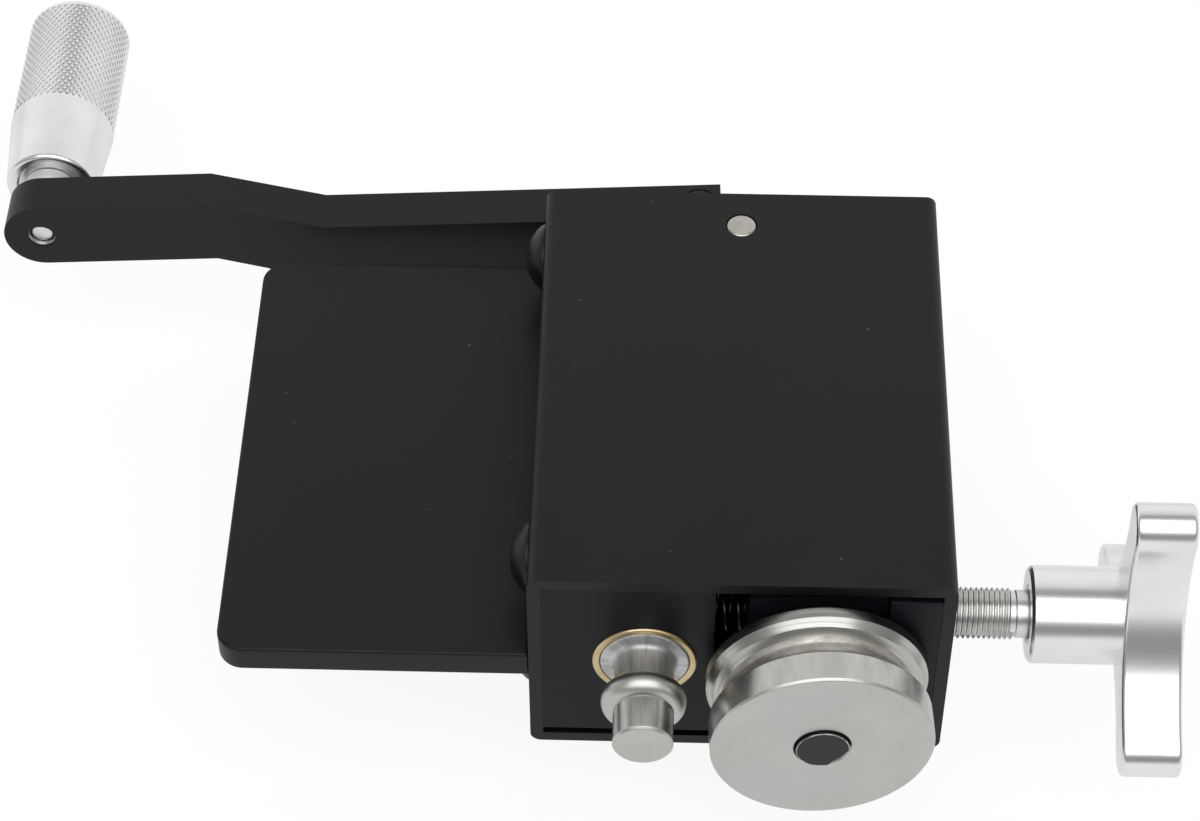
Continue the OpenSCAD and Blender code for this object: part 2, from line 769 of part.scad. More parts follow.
module idler_retaining_ring() {
    color(dark_steel) on_idler_axis()
        sleeve_y(ring_d, idler_d - 2 * ring_seat + 2 * fixed_fit, ring_y + fixed_fit,
            ring_y + ring_thickness - fixed_fit);
}

module groove_roller() {
    r = roller_d / 2;
    c = roller_chamfer;
    set_y = roller_front_y + roller_front_rim / 2;
    color(bright_steel) on_idler_axis() difference() {
        turned_y() difference() {
            polygon([
                [0, roller_front_y], [r - c, roller_front_y], [r, roller_front_y + c],
                [r, roller_back_y - c], [r - c, roller_back_y], [0, roller_back_y]
            ]);
            translate([r - groove_depth + groove_r, groove_y]) circle(groove_r);
        }
        difference() {
            round_y(idler_stub_d + 2 * fixed_fit, roller_front_y - past, roller_back_y + past);
            flat_side(roller_front_y - 2 * past, roller_back_y + 2 * past, fixed_fit);
        }
        translate([0, set_y, 0]) rotate([0, 90 - idler_flat_angle, 0])
            cylinder(d = set_screw_d + 2 * fixed_fit, h = r + past);
    }
}

module roller_set_screw() {
    flat_r = idler_stub_d / 2 - idler_flat + fixed_fit;
    color(dark_steel) on_idler_axis() translate([0, roller_front_y + roller_front_rim / 2, 0])
        rotate([0, 90 - idler_flat_angle, 0]) translate([0, 0, flat_r])
            set_screw(roller_d / 2 - roller_screw_sunk - flat_r);
}

module nut_block() {
    color(black_block) difference() {
        translate([nut_left, front_y, swing_bottom])
            cube([nut_thickness, nut_length, swing_top - swing_bottom]);
        on_screw_axis() round_x(screw_d + 2 * running_fit, nut_left - past, right_in + past);
        at_flat_screws() translate([0, 0, -housing_wall - flat_screw_grip - past])
            cylinder(d = flat_screw_d + 2 * fixed_fit, h = flat_screw_grip + 2 * past);
    }
}

module nut_block_screws() {
    socket = 1.8;
    length = housing_wall + flat_screw_grip;
    color(dark_steel) at_flat_screws() difference() {
        union() {
            flat_head(flat_screw_d, flat_head_d);
            translate([0, 0, -length]) cylinder(d = flat_screw_d, h = length - past);
        }
        translate([0, 0, -socket]) hexagon_socket(flat_screw_d * 0.66, socket + past);
    }
}

module adjusting_screw() {
    thread_end = hub_x - relief_length;
    shank_end = hub_x + shank_depth;
    color(zinc_steel) on_screw_axis() turned_x() polygon([
        [0, screw_tip_x - pilot_length], [pilot_d / 2, screw_tip_x - pilot_length],
        [pilot_d / 2, screw_tip_x], [pad_d / 2, screw_tip_x], [screw_d / 2, screw_tip_x + past],
        [screw_d / 2, thread_end], [relief_d / 2, thread_end + past],
        [relief_d / 2, shank_end], [0, shank_end]
    ]);
}

// Ball-nosed pad that slides with the screw and doesn't turn
module thrust_pad() {
    nose_r = pad_d / 2;
    color(bright_steel) on_screw_axis() difference() {
        turned_x() {
            intersection() {
                translate([0, pad_tip_x + nose_r]) circle(nose_r);
                translate([0, pad_tip_x]) square([nose_r, nose_r]);
            }
            translate([0, pad_tip_x + nose_r]) square([nose_r, pad_length - nose_r]);
        }
        round_x(pilot_d + 2 * running_fit, screw_tip_x - pilot_length - face_gap, pad_back_x + past);
    }
}

// Three lobes with round tips, each tangent to the concave sides beside it
module star_outline() {
    lobes = 3;
    side_d = knob_valley_r + knob_side_r;
    ahead = knob_r - side_d / 2;
    across = side_d * sin(180 / lobes);
    tip_r = (ahead * ahead + across * across - knob_side_r * knob_side_r) / (2 * (ahead + knob_side_r));
    tip_d = knob_r - tip_r;
    // Direction from a tip's centre to the centre of the side beside it
    lean = atan2(across, side_d / 2 - tip_d);
    difference() {
        polygon([for (i = [0 : lobes - 1], s = [-1, 1]) let (a = i * 360 / lobes)
            [tip_d * cos(a) + tip_r * cos(a + s * lean), tip_d * sin(a) + tip_r * sin(a + s * lean)]]);
        for (i = [0 : lobes - 1]) rotate((i + 0.5) * 360 / lobes) translate([side_d, 0]) circle(knob_side_r);
    }
    for (i = [0 : lobes - 1]) rotate(i * 360 / lobes) translate([tip_d, 0]) circle(tip_r);
}

module star_knob() {
    recess = 1;
    color(bare_aluminium) on_screw_axis() difference() {
        union() {
            translate([lobe_x, 0, 0]) rotate([knob_angle, 0, 0]) rotate([90, 0, 90])
                linear_extrude(knob_thickness) star_outline();
            turned_x() polygon([
                [0, hub_x], [hub_d / 2 - hub_chamfer, hub_x], [hub_d / 2, hub_x + hub_chamfer],
                [hub_d / 2, lobe_x + past], [0, lobe_x + past]
            ]);
        }
        round_x(relief_d + 2 * fixed_fit, hub_x - past, hub_x + shank_depth + face_gap);
        round_x(screw_d + 4 * loose_fit, hub_x - past, hub_x + recess);
        translate([hub_x + hub_length / 2, 0, 0]) rotate([180, 0, 0])
            cylinder(d = set_screw_d + 2 * fixed_fit, h = hub_d);
    }
}

module knob_set_screw() {
    color(dark_steel) on_screw_axis() translate([hub_x + hub_length / 2, 0, 0]) rotate([180, 0, 0])
        translate([0, 0, relief_d / 2 + fixed_fit]) set_screw(hub_d / 2 - relief_d / 2 - set_screw_sunk);
}

// Middle line of the spring: a helix along X whose two ends run straight for one wire diameter
spring_rings_per_curl = 8;
spring_sides = 6;
spring_mean_r = (spring_d - wire_d) / 2;
spring_rings = spring_curls * spring_rings_per_curl;
spring_length = spring_end - spring_start - wire_d;
function spring_angle(i) = spring_start_angle + 360 * i / spring_rings_per_curl;
function spring_on_helix(i) = [
    spring_start + wire_d / 2 + spring_length * i / spring_rings,
    spring_mean_r * cos(spring_angle(i)),
    spring_mean_r * sin(spring_angle(i))
];
function spring_heading(i) = let (turn = 2 * PI * spring_mean_r / spring_rings_per_curl)
    unit([spring_length / spring_rings, -turn * sin(spring_angle(i)), turn * cos(spring_angle(i))]);
function unit(v) = v / norm(v);
spring_line = concat(
    [spring_on_helix(0) - wire_d * spring_heading(0)],
    [for (i = [0 : spring_rings]) spring_on_helix(i)],
    [spring_on_helix(spring_rings) + wire_d * spring_heading(spring_rings)]
);
spring_last = len(spring_line) - 1;
// Least distance between the wire's surfaces at points a turn or more apart
spring_self_gap = min([for (i = [0 : spring_last], j = [0 : spring_last])
    if (j - i >= spring_rings_per_curl - 1) norm(spring_line[j] - spring_line[i]) - wire_d]);
echo(spring_self_gap = spring_self_gap);

module return_spring() {
    function ring(i) = let (
        heading = unit(spring_line[min(i + 1, spring_last)] - spring_line[max(i - 1, 0)]),
        side = unit(cross(heading, [1, 0, 0])),
        rise = cross(side, heading)
    ) [for (s = [0 : spring_sides - 1]) let (a = 360 * s / spring_sides)
        spring_line[i] + wire_d / 2 * (cos(a) * side + sin(a) * rise)];
    points = [for (i = [0 : spring_last]) each ring(i)];
    function at(i, s) = i * spring_sides + s % spring_sides;
    walls = [for (i = [0 : spring_last - 1], s = [0 : spring_sides - 1])
        each [[at(i, s), at(i + 1, s), at(i + 1, s + 1)], [at(i, s), at(i + 1, s + 1), at(i, s + 1)]]];
    caps = [for (s = [1 : spring_sides - 2])
        each [[at(0, 0), at(0, s), at(0, s + 1)],
            [at(spring_last, 0), at(spring_last, s + 1), at(spring_last, s)]]];
    color(zinc_steel) on_screw_axis() polyhedron(points, concat(walls, caps));
}

housing();
vise_plate();
plate_weld();
drive_block();
drive_bush_front();
drive_bush_rear();
block_screws();
drive_shaft();
drive_collar();
collar_set_screw();
crank_arm();
crank_clamp_screw();
handle_spindle();
handle_grip();
grip_retaining_ring();
swing_block();
pivot_pin();
pivot_washers();
idler_shaft();
idler_bush_front();
idler_bush_rear();
idler_thrust_washer();
idler_retaining_ring();
groove_roller();
roller_set_screw();
nut_block();
nut_block_screws();
adjusting_screw();
thrust_pad();
star_knob();
knob_set_screw();
return_spring();
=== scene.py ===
"""Looks of a hand cranked tube beader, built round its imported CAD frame. Metres, +Z up."""

import json
import math

import bmesh
import bpy
from mathutils import Matrix, Vector

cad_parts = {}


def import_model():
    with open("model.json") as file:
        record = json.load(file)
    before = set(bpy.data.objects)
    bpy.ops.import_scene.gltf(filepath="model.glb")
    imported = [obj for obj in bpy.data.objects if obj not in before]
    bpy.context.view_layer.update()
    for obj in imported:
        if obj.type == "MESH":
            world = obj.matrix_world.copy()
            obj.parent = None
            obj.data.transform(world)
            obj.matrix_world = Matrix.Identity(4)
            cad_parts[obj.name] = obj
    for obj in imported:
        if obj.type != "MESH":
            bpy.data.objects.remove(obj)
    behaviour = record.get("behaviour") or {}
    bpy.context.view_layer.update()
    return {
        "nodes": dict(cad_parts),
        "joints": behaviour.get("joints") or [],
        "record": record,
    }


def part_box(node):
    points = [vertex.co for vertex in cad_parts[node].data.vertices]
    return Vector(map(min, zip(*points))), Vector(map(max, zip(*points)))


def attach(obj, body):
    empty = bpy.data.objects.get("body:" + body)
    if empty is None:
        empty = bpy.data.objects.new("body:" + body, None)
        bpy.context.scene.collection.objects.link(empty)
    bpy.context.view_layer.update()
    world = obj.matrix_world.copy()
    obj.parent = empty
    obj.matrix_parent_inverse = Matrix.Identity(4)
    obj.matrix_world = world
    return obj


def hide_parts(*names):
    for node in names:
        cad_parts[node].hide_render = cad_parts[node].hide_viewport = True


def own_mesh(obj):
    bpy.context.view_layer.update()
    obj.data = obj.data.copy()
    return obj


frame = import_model()
nodes = frame["nodes"]
joints = {joint["name"]: joint for joint in frame["joints"]}
body_of_node = {
    node: body
    for body, members in frame["record"]["behaviour"]["bodies"].items()
    for node in members
}
slot_of_node = {part["node"]: part["material_slot"] for part in frame["record"]["subparts"]}

MM = 0.001

# Points nearer to each other than these, in metres, are one point
SEAM = 1e-7
CAD_SEAM = 1e-6

# A profile's point nearer to its axis than this, in mm, is on it
ON_AXIS = 1e-6

# Places that the looks share with the frame
DRIVE_AXIS = Vector(joints["crank_turn"]["pos_m"])
GRIP_AXIS = Vector(joints["grip_spin"]["pos_m"])
SCREW_AXIS = Vector(joints["knob_turn"]["pos_m"])
IDLER_AXIS = Vector(joints["idler_spin"]["pos_m"])
IDLER_TURN = math.atan2(-joints["idler_spin"]["axis"][0], joints["idler_spin"]["axis"][1])


def link(obj):
    bpy.context.scene.collection.objects.link(obj)
    return obj


def as_object(name, work):
    """An object in the scene whose mesh is a bmesh's, which is freed."""
    mesh = bpy.data.meshes.new(name)
    work.to_mesh(mesh)
    work.free()
    return link(bpy.data.objects.new(name, mesh))


def shade(mesh, angle=32):
    """Smooth shading that keeps edges sharper than the angle, in degrees."""
    mesh.polygons.foreach_set("use_smooth", [True] * len(mesh.polygons))
    mesh.set_sharp_from_angle(angle=math.radians(angle))


def baked(obj):
    """obj with its modifiers turned into a plain mesh."""
    bpy.context.view_layer.update()
    evaluated = obj.evaluated_get(bpy.context.evaluated_depsgraph_get())
    mesh = bpy.data.meshes.new_from_object(evaluated)
    obj.modifiers.clear()
    old = obj.data
    obj.data = mesh
    bpy.data.meshes.remove(old)
    return obj


def finish_piece(obj, node, *materials):
    """Gives a piece its materials and CAD body, and lets it stand for its CAD node."""
    slots = [min(face.material_index, len(materials) - 1) for face in obj.data.polygons]
    obj.data.materials.clear()
    for material in materials:
        obj.data.materials.append(material)
    obj.data.polygons.foreach_set("material_index", slots)
    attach(obj, body_of_node[node])
    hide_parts(node)
    return obj


def rounded(obj, width, segments, angle):
    """obj with its edges sharper than the angle, in degrees, rounded to a width in mm."""
    bevel = obj.modifiers.new("round", "BEVEL")
    bevel.width = width * MM
    bevel.segments = segments
    bevel.limit_method = "ANGLE"
    bevel.angle_limit = math.radians(angle)
    weighted = obj.modifiers.new("flat", "WEIGHTED_NORMAL")
    weighted.keep_sharp = True
    shade(obj.data, 180)
    return baked(obj)


def dressed(node, width):
    """A merged copy of a CAD node with its sharp edges rounded."""
    flat = math.radians(0.5)
    work = bmesh.new()
    work.from_mesh(nodes[node].data)
    bmesh.ops.remove_doubles(work, verts=work.verts, dist=CAD_SEAM)
    bmesh.ops.dissolve_limit(work, angle_limit=flat, verts=work.verts, edges=work.edges)
    return rounded(as_object("look_" + node, work), width, segments=3, angle=35)


def filleted(corners, steps=5):
    """A polyline through corners (radius, along, fillet), in mm, with each fillet as an arc."""
    points = []
    for i, (x, y, size) in enumerate(corners):
        here = Vector((x, y))
        if size <= 0 or i in (0, len(corners) - 1):
            points.append(here)
            continue
        back = Vector(corners[i - 1][:2]) - here
        ahead = Vector(corners[i + 1][:2]) - here
        half = back.angle(ahead) / 2
        run = min(size / math.tan(half), back.length * 0.49, ahead.length * 0.49)
        start = here + back.normalized() * run
        end = here + ahead.normalized() * run
        centre = here + (back.normalized() + ahead.normalized()).normalized() * run / math.cos(half)
        radius = (start - centre).length
        first = math.atan2(start.y - centre.y, start.x - centre.x)
        sweep = math.atan2(end.y - centre.y, end.x - centre.x) - first
        sweep = (sweep + math.pi) % (2 * math.pi) - math.pi
        for k in range(steps + 1):
            turn = first + sweep * k / steps
            points.append(centre + radius * Vector((math.cos(turn), math.sin(turn))))
    return points


def arc(radius, along, size, first, last, steps=18):
    """Points of an arc in a profile, in mm, between two angles from the outward direction in degrees."""
    points = []
    for k in range(steps + 1):
        turn = math.radians(first + (last - first) * k / steps)
        points.append(Vector((radius + size * math.cos(turn), along + size * math.sin(turn))))
    return points


def lathe(name, profile, place, segments=128, slot=0):
    """A profile of radius and distance along the axis, in mm, turned about local Y and put in place.

    Its UV holds the length along the profile in units of 100 mm and the turn, for turning marks."""
    uv_unit = 100
    work = bmesh.new()
    uv = work.loops.layers.uv.new("UVMap")
    length = [0.0]
    for a, b in zip(profile, profile[1:]):
        length.append(length[-1] + (b - a).length / uv_unit)
    rings = []
    for point in profile:
        ring = []
        for k in range(segments):
            turn = 2 * math.pi * k / segments
            spot = Vector((point.x * math.cos(turn), point.y, point.x * math.sin(turn)))
            ring.append(work.verts.new(place @ spot))
            if point.x < ON_AXIS:
                break
        rings.append(ring)
    for i, (a, b) in enumerate(zip(rings, rings[1:])):
        for k in range(segments):
            corners = []
            for ring, step, at in ((a, k, i), (b, k, i + 1), (b, k + 1, i + 1), (a, k + 1, i)):
                vertex = ring[step % len(ring)]
                if vertex not in [c[0] for c in corners]:
                    corners.append((vertex, (length[at], step / segments)))
            if len(corners) < 3:
                continue
            face = work.faces.new([c[0] for c in corners])
            face.material_index = slot
            for loop, corner in zip(face.loops, corners):
                loop[uv].uv = corner[1]
    bmesh.ops.remove_doubles(work, verts=work.verts, dist=SEAM)
    bmesh.ops.recalc_face_normals(work, faces=work.faces)
    obj = as_object(name, work)
    shade(obj.data)
    return obj


def joined(first, *others):
    """Adds the other objects' meshes to the first one's."""
    work = bmesh.new()
    for obj in (first, *others):
        work.from_mesh(obj.data)
    work.to_mesh(first.data)
    work.free()
    for obj in others:
        bpy.data.objects.remove(obj)
    return first


def turned(name, place, stretches, segments=128):
    """A closed turned piece from stretches of its profile, each with its material's number."""
    piece = joined(*[lathe(name, profile, place, segments, slot) for profile, slot in stretches])
    work = bmesh.new()
    work.from_mesh(piece.data)
    bmesh.ops.remove_doubles(work, verts=work.verts, dist=SEAM)
    bmesh.ops.recalc_face_normals(work, faces=work.faces)
    work.to_mesh(piece.data)
    work.free()
    shade(piece.data)
    return piece


def wire(name, path, radius, sides=14, slot=0):
    """A round wire along a path of middles, outward directions and headings."""
    work = bmesh.new()
    rings = []
    for middle, out, heading in path:
        side = heading.cross(out)
        ring = []
        for k in range(sides):
            turn = 2 * math.pi * k / sides
            ring.append(work.verts.new(middle + radius * (math.cos(turn) * out + math.sin(turn) * side)))
        rings.append(ring)
    for a, b in zip(rings, rings[1:]):
        for k in range(sides):
            j = (k + 1) % sides
            work.faces.new((a[k], a[j], b[j], b[k]))
    work.faces.new(rings[0])
    work.faces.new(rings[-1])
    bmesh.ops.recalc_face_normals(work, faces=work.faces)
    for face in work.faces:
        face.material_index = slot
    obj = as_object(name, work)
    shade(obj.data, 40)
    return obj


def along_y(origin):
    """Local Y along the row's Y through a point, with distances along it counted from y = 0."""
    return Matrix.Translation((origin.x, 0, origin.z)) @ Matrix.Scale(MM, 4)


def along_x(origin):
    """Local Y along the row's X through a point, with distances along it counted from x = 0."""
    quarter = Matrix.Rotation(-math.pi / 2, 4, "Z")
    return Matrix.Translation((0, origin.y, origin.z)) @ quarter @ Matrix.Scale(MM, 4)


def along_idler():
    """Local Y along the idler shaft, with distances counted from the swing block's front."""
    turn = Matrix.Rotation(IDLER_TURN, 4, "Z")
    return Matrix.Translation(IDLER_AXIS) @ turn @ Matrix.Scale(MM, 4)


# Shader groups and materials


def group(name, inputs, outputs):
    """A shader node group with its interface, and its input and output nodes."""
    tree = bpy.data.node_groups.new(name, "ShaderNodeTree")
    for label, kind, value in inputs:
        socket = tree.interface.new_socket(label, in_out="INPUT", socket_type=kind)
        if value is not None:
            socket.default_value = value
    for label, kind in outputs:
        tree.interface.new_socket(label, in_out="OUTPUT", socket_type=kind)
    return tree, tree.nodes.new("NodeGroupInput"), tree.nodes.new("NodeGroupOutput")


def math_node(tree, operation, a, b=None, clamp=False):
    node = tree.nodes.new("ShaderNodeMath")
    node.operation = operation
    node.use_clamp = clamp
    for socket, value in zip(node.inputs, (a, b)):
        if value is None:
            continue
        if isinstance(value, (int, float)):
            socket.default_value = value
        else:
            tree.links.new(value, socket)
    return node.outputs[0]


def combine(tree, x, y, z):
    """A vector from three numbers or sockets."""
    node = tree.nodes.new("ShaderNodeCombineXYZ")
    for socket, value in zip(node.inputs, (x, y, z)):
        if isinstance(value, (int, float)):
            socket.default_value = value
        else:
            tree.links.new(value, socket)
    return node.outputs["Vector"]


def remapped(tree, value, low, high, to_low, to_high):
    node = tree.nodes.new("ShaderNodeMapRange")
    node.inputs["From Min"].default_value = low
    node.inputs["From Max"].default_value = high
    node.inputs["To Min"].default_value = to_low
    node.inputs["To Max"].default_value = to_high
    tree.links.new(value, node.inputs["Value"])
    return node.outputs["Result"]


def grain_group():
    """Cloudy and fine noise, from 0 to 1."""
    tree, given, out = group(
        "surface_grain",
        [
            ("Vector", "NodeSocketVector", None),
            ("Scale", "NodeSocketFloat", 900.0),
            ("Detail", "NodeSocketFloat", 3.0),
        ],
        [("Value", "NodeSocketFloat")],
    )
    noise = tree.nodes.new("ShaderNodeTexNoise")
    noise.inputs["Roughness"].default_value = 0.6
    for label in ("Vector", "Scale", "Detail"):
        tree.links.new(given.outputs[label], noise.inputs[label])
    tree.links.new(noise.outputs["Fac"], out.inputs["Value"])
    return tree


def specks_group():
    """Sparse small specks of dust: 1 in a speck and 0 elsewhere."""
    tree, given, out = group(
        "dust_specks",
        [
            ("Vector", "NodeSocketVector", None),
            ("Scale", "NodeSocketFloat", 130.0),
            ("Radius", "NodeSocketFloat", 0.035),
            ("Share", "NodeSocketFloat", 0.12),
        ],
        [("Mask", "NodeSocketFloat")],
    )
    cells = tree.nodes.new("ShaderNodeTexVoronoi")
    tree.links.new(given.outputs["Vector"], cells.inputs["Vector"])
    tree.links.new(given.outputs["Scale"], cells.inputs["Scale"])
    split = tree.nodes.new("ShaderNodeSeparateColor")
    tree.links.new(cells.outputs["Color"], split.inputs["Color"])
    size = math_node(tree, "MULTIPLY", split.outputs["Green"], given.outputs["Radius"])
    near = math_node(tree, "LESS_THAN", cells.outputs["Distance"], size)
    chosen = math_node(tree, "LESS_THAN", split.outputs["Red"], given.outputs["Share"])
    tree.links.new(math_node(tree, "MULTIPLY", near, chosen), out.inputs["Mask"])
    return tree


def turning_group():
    """Fine rings left by a lathe, from 0 to 1, from a UV of length along the profile and turn."""
    tree, given, out = group(
        "turning_marks",
        [
            ("UV", "NodeSocketVector", None),
            ("Rings", "NodeSocketFloat", 260.0),
            ("Wander", "NodeSocketFloat", 0.6),
        ],
        [("Value", "NodeSocketFloat")],
    )
    split = tree.nodes.new("ShaderNodeSeparateXYZ")
    tree.links.new(given.outputs["UV"], split.inputs["Vector"])
    across = math_node(tree, "MULTIPLY", split.outputs["X"], given.outputs["Rings"])
    around = math_node(tree, "MULTIPLY", split.outputs["Y"], given.outputs["Wander"])
    noise = tree.nodes.new("ShaderNodeTexNoise")
    noise.inputs["Scale"].default_value = 1.0
    noise.inputs["Detail"].default_value = 4.0
    noise.inputs["Roughness"].default_value = 0.7
    tree.links.new(combine(tree, across, around, 0.0), noise.inputs["Vector"])
    tree.links.new(noise.outputs["Fac"], out.inputs["Value"])
    return tree


GRAIN = grain_group()
SPECKS = specks_group()
TURNING = turning_group()


class Finish:
    """A Principled material whose colour, roughness and bump are built up from shared groups."""

    def __init__(self, name, colour, metallic, roughness, specular=0.5):
        self.material = bpy.data.materials.new(name)
        self.material.use_nodes = True
        self.tree = self.material.node_tree
        self.shader = self.tree.nodes["Principled BSDF"]
        self.shader.inputs["Base Color"].default_value = (*colour, 1)
        self.shader.inputs["Metallic"].default_value = metallic
        self.shader.inputs["Roughness"].default_value = roughness
        self.shader.inputs["Specular IOR Level"].default_value = specular
        self.colour = colour
        self.roughness = roughness
        self.coordinates = self.tree.nodes.new("ShaderNodeTexCoord")

    def use(self, tree, vector, **values):
        node = self.tree.nodes.new("ShaderNodeGroup")
        node.node_tree = tree
        self.tree.links.new(self.coordinates.outputs[vector], node.inputs[0])
        for label, value in values.items():
            node.inputs[label].default_value = value
        return node.outputs[0]

    def vary_roughness(self, value, amount):
        low = max(0.02, self.roughness - amount)
        high = self.roughness + amount
        result = remapped(self.tree, value, 0.3, 0.7, low, high)
        self.tree.links.new(result, self.shader.inputs["Roughness"])

    def vary_colour(self, value, other, low=0.35, high=0.65):
        """Blends the colour so far towards another one as the value goes from low to high."""
        mix = self.tree.nodes.new("ShaderNodeMix")
        mix.data_type = "RGBA"
        base = self.shader.inputs["Base Color"]
        if base.is_linked:
            self.tree.links.new(base.links[0].from_socket, mix.inputs["A"])
        else:
            mix.inputs["A"].default_value = (*self.colour, 1)
        mix.inputs["B"].default_value = (*other, 1)
        factor = remapped(self.tree, value, low, high, 0, 1)
        self.tree.links.new(factor, mix.inputs["Factor"])
        self.tree.links.new(mix.outputs["Result"], base)

    def bump(self, value, distance, strength=1.0):
        node = self.tree.nodes.new("ShaderNodeBump")
        node.inputs["Distance"].default_value = distance
        node.inputs["Strength"].default_value = strength
        self.tree.links.new(value, node.inputs["Height"])
        self.tree.links.new(node.outputs["Normal"], self.shader.inputs["Normal"])


def coated_black():
    """Satin black coating with fine texture, cloudy sheen and sparse dust."""
    black = (0.0054, 0.0054, 0.0066)
    haze = (0.0068, 0.0068, 0.008)
    dust_grey = (0.05, 0.05, 0.05)
    finish = Finish("satin_black", black, metallic=0.0, roughness=0.42, specular=0.245)
    fine = finish.use(GRAIN, "Object", Scale=2600.0, Detail=2.0)
    cloud = finish.use(GRAIN, "Object", Scale=40.0, Detail=3.0)
    dust = finish.use(SPECKS, "Object", Scale=110.0, Radius=0.05, Share=0.9)
    finish.vary_roughness(cloud, 0.04)
    finish.vary_colour(cloud, haze)
    finish.vary_colour(dust, dust_grey, 0.4, 0.6)
    finish.bump(fine, 0.00002, 0.5)
    return finish.material


def anodised_black():
    """Black anodised aluminium, a little bluer than the coating, with a fine grain and sparse dust."""
    black = (0.006, 0.0068, 0.0094)
    haze = (0.0075, 0.0084, 0.0114)
    dust_grey = (0.045, 0.045, 0.045)
    finish = Finish("black_block", black, metallic=0.0, roughness=0.36, specular=0.15)
    cloud = finish.use(GRAIN, "Object", Scale=60.0, Detail=3.0)
    fine = finish.use(GRAIN, "Object", Scale=1800.0, Detail=2.0)
    dust = finish.use(SPECKS, "Object", Scale=160.0, Radius=0.05, Share=0.6)
    finish.vary_roughness(cloud, 0.05)
    finish.vary_colour(cloud, haze)
    finish.vary_colour(dust, dust_grey, 0.4, 0.6)
    finish.bump(fine, 0.00001, 0.4)
    return finish.material


def turned_steel(name, colour, tint, roughness):
    """Turned steel with faint lathe rings, soft stains and a satin shine."""
    bluish = (0.525, 0.54, 0.545)
    band = tuple(0.95 * c for c in colour)
    finish = Finish(name, colour, 1.0, roughness)
    rings = finish.use(TURNING, "UV", Rings=420.0, Wander=0.5)
    bands = finish.use(TURNING, "UV", Rings=60.0, Wander=1.5)
    stain = finish.use(GRAIN, "Object", Scale=70.0, Detail=4.0)
    bloom = finish.use(GRAIN, "Object", Scale=35.0, Detail=2.0)
    finish.vary_roughness(rings, 0.05)
    finish.vary_colour(stain, tint, 0.4, 0.75)
    finish.vary_colour(bloom, bluish, 0.5, 0.7)
    finish.vary_colour(bands, band, 0.45, 0.7)
    finish.bump(rings, 0.00001, 0.2)
    return finish.material


def rolled_steel(name, colour, dark, roughness=0.26, metallic=1.0, rings=3.0, wander=12.0):
    """Steel that work has rubbed: mottled streaks along or across the turning marks."""
    finish = Finish(name, colour, metallic, roughness)
    streaks = finish.use(TURNING, "UV", Rings=rings, Wander=wander)
    marks = finish.use(TURNING, "UV", Rings=420.0, Wander=0.5)
    finish.vary_colour(streaks, dark, 0.38, 0.68)
    finish.vary_roughness(streaks, 0.07)
    finish.bump(marks, 0.00001, 0.2)
    return finish.material


def plain_metal(name, colour, other, roughness, spread=0.05, scale=160.0, metallic=1.0, specular=0.5):
    """Metal with cloudy tone and a fine grain."""
    finish = Finish(name, colour, metallic, roughness, specular)
    cloud = finish.use(GRAIN, "Object", Scale=scale, Detail=4.0)
    fine = finish.use(GRAIN, "Object", Scale=3000.0, Detail=2.0)
    finish.vary_roughness(cloud, spread)
    finish.vary_colour(cloud, other)
    finish.bump(fine, 0.00001, 0.25)
    return finish.material


BLACK = coated_black()
BLOCK = anodised_black()
STEEL = turned_steel("bright_steel", (0.54, 0.54, 0.515), (0.475, 0.465, 0.425), 0.36)
ROLLED = rolled_steel("rolled_steel", (0.48, 0.475, 0.45), (0.32, 0.315, 0.295))
RUBBED = rolled_steel("rubbed_rim", (0.57, 0.565, 0.545), (0.46, 0.455, 0.435), wander=20.0)
# The back flange's rim in a darker copy of the roller's steel: a painted dark reflection
FLANGE_SHADE = rolled_steel(
    "flange_steel_shaded", (0.38, 0.375, 0.355), (0.2, 0.196, 0.182), 0.28, rings=90.0, wander=3.0
)
CHAMFER = rolled_steel(
    "chamfer_steel", (0.52, 0.515, 0.49), (0.36, 0.352, 0.33), 0.25, rings=90.0, wander=3.0
)
GROOVED = rolled_steel(
    "grooved_steel", (0.53, 0.51, 0.47), (0.28, 0.264, 0.23), 0.46, rings=24.0, wander=16.0
)
ZINC = plain_metal("zinc_steel", (0.72, 0.73, 0.71), (0.62, 0.63, 0.61), 0.3)
PIN = plain_metal("bright_pin", (0.5, 0.49, 0.445), (0.42, 0.41, 0.37), 0.3)
BRONZE = plain_metal("bronze", (0.66, 0.54, 0.33), (0.55, 0.42, 0.23), 0.3)
ALUMINIUM = plain_metal("bare_aluminium", (0.83, 0.84, 0.85), (0.77, 0.78, 0.79), 0.24, 0.03, 60.0)
DARK = plain_metal(
    "dark_fastener", (0.01, 0.01, 0.012), (0.015, 0.015, 0.017), 0.36, metallic=0.25, specular=0.38
)
SATIN = plain_metal("satin_metal", (0.93, 0.93, 0.93), (0.86, 0.86, 0.86), 0.45, metallic=0.35)
# Bright metal for the wire on the idler shaft's D end: a painted highlight on that edge
BRIGHT_EDGE = plain_metal("bright_edge", (0.62, 0.62, 0.61), (0.15, 0.15, 0.15), 0.4, scale=600.0)
ROOT = rolled_steel("shaft_root", (0.62, 0.63, 0.63), (0.28, 0.28, 0.28), 0.4, 0.75)
SPRING = plain_metal("oiled_spring", (0.17, 0.17, 0.17), (0.1, 0.1, 0.1), 0.35)
FINISHES = {
    "satin_black": BLACK,
    "black_block": BLOCK,
    "bright_steel": STEEL,
    "zinc_steel": ZINC,
    "bronze": BRONZE,
    "bare_aluminium": ALUMINIUM,
    "dark_fastener": DARK,
}


# Node trees that grow the knurl and the thread


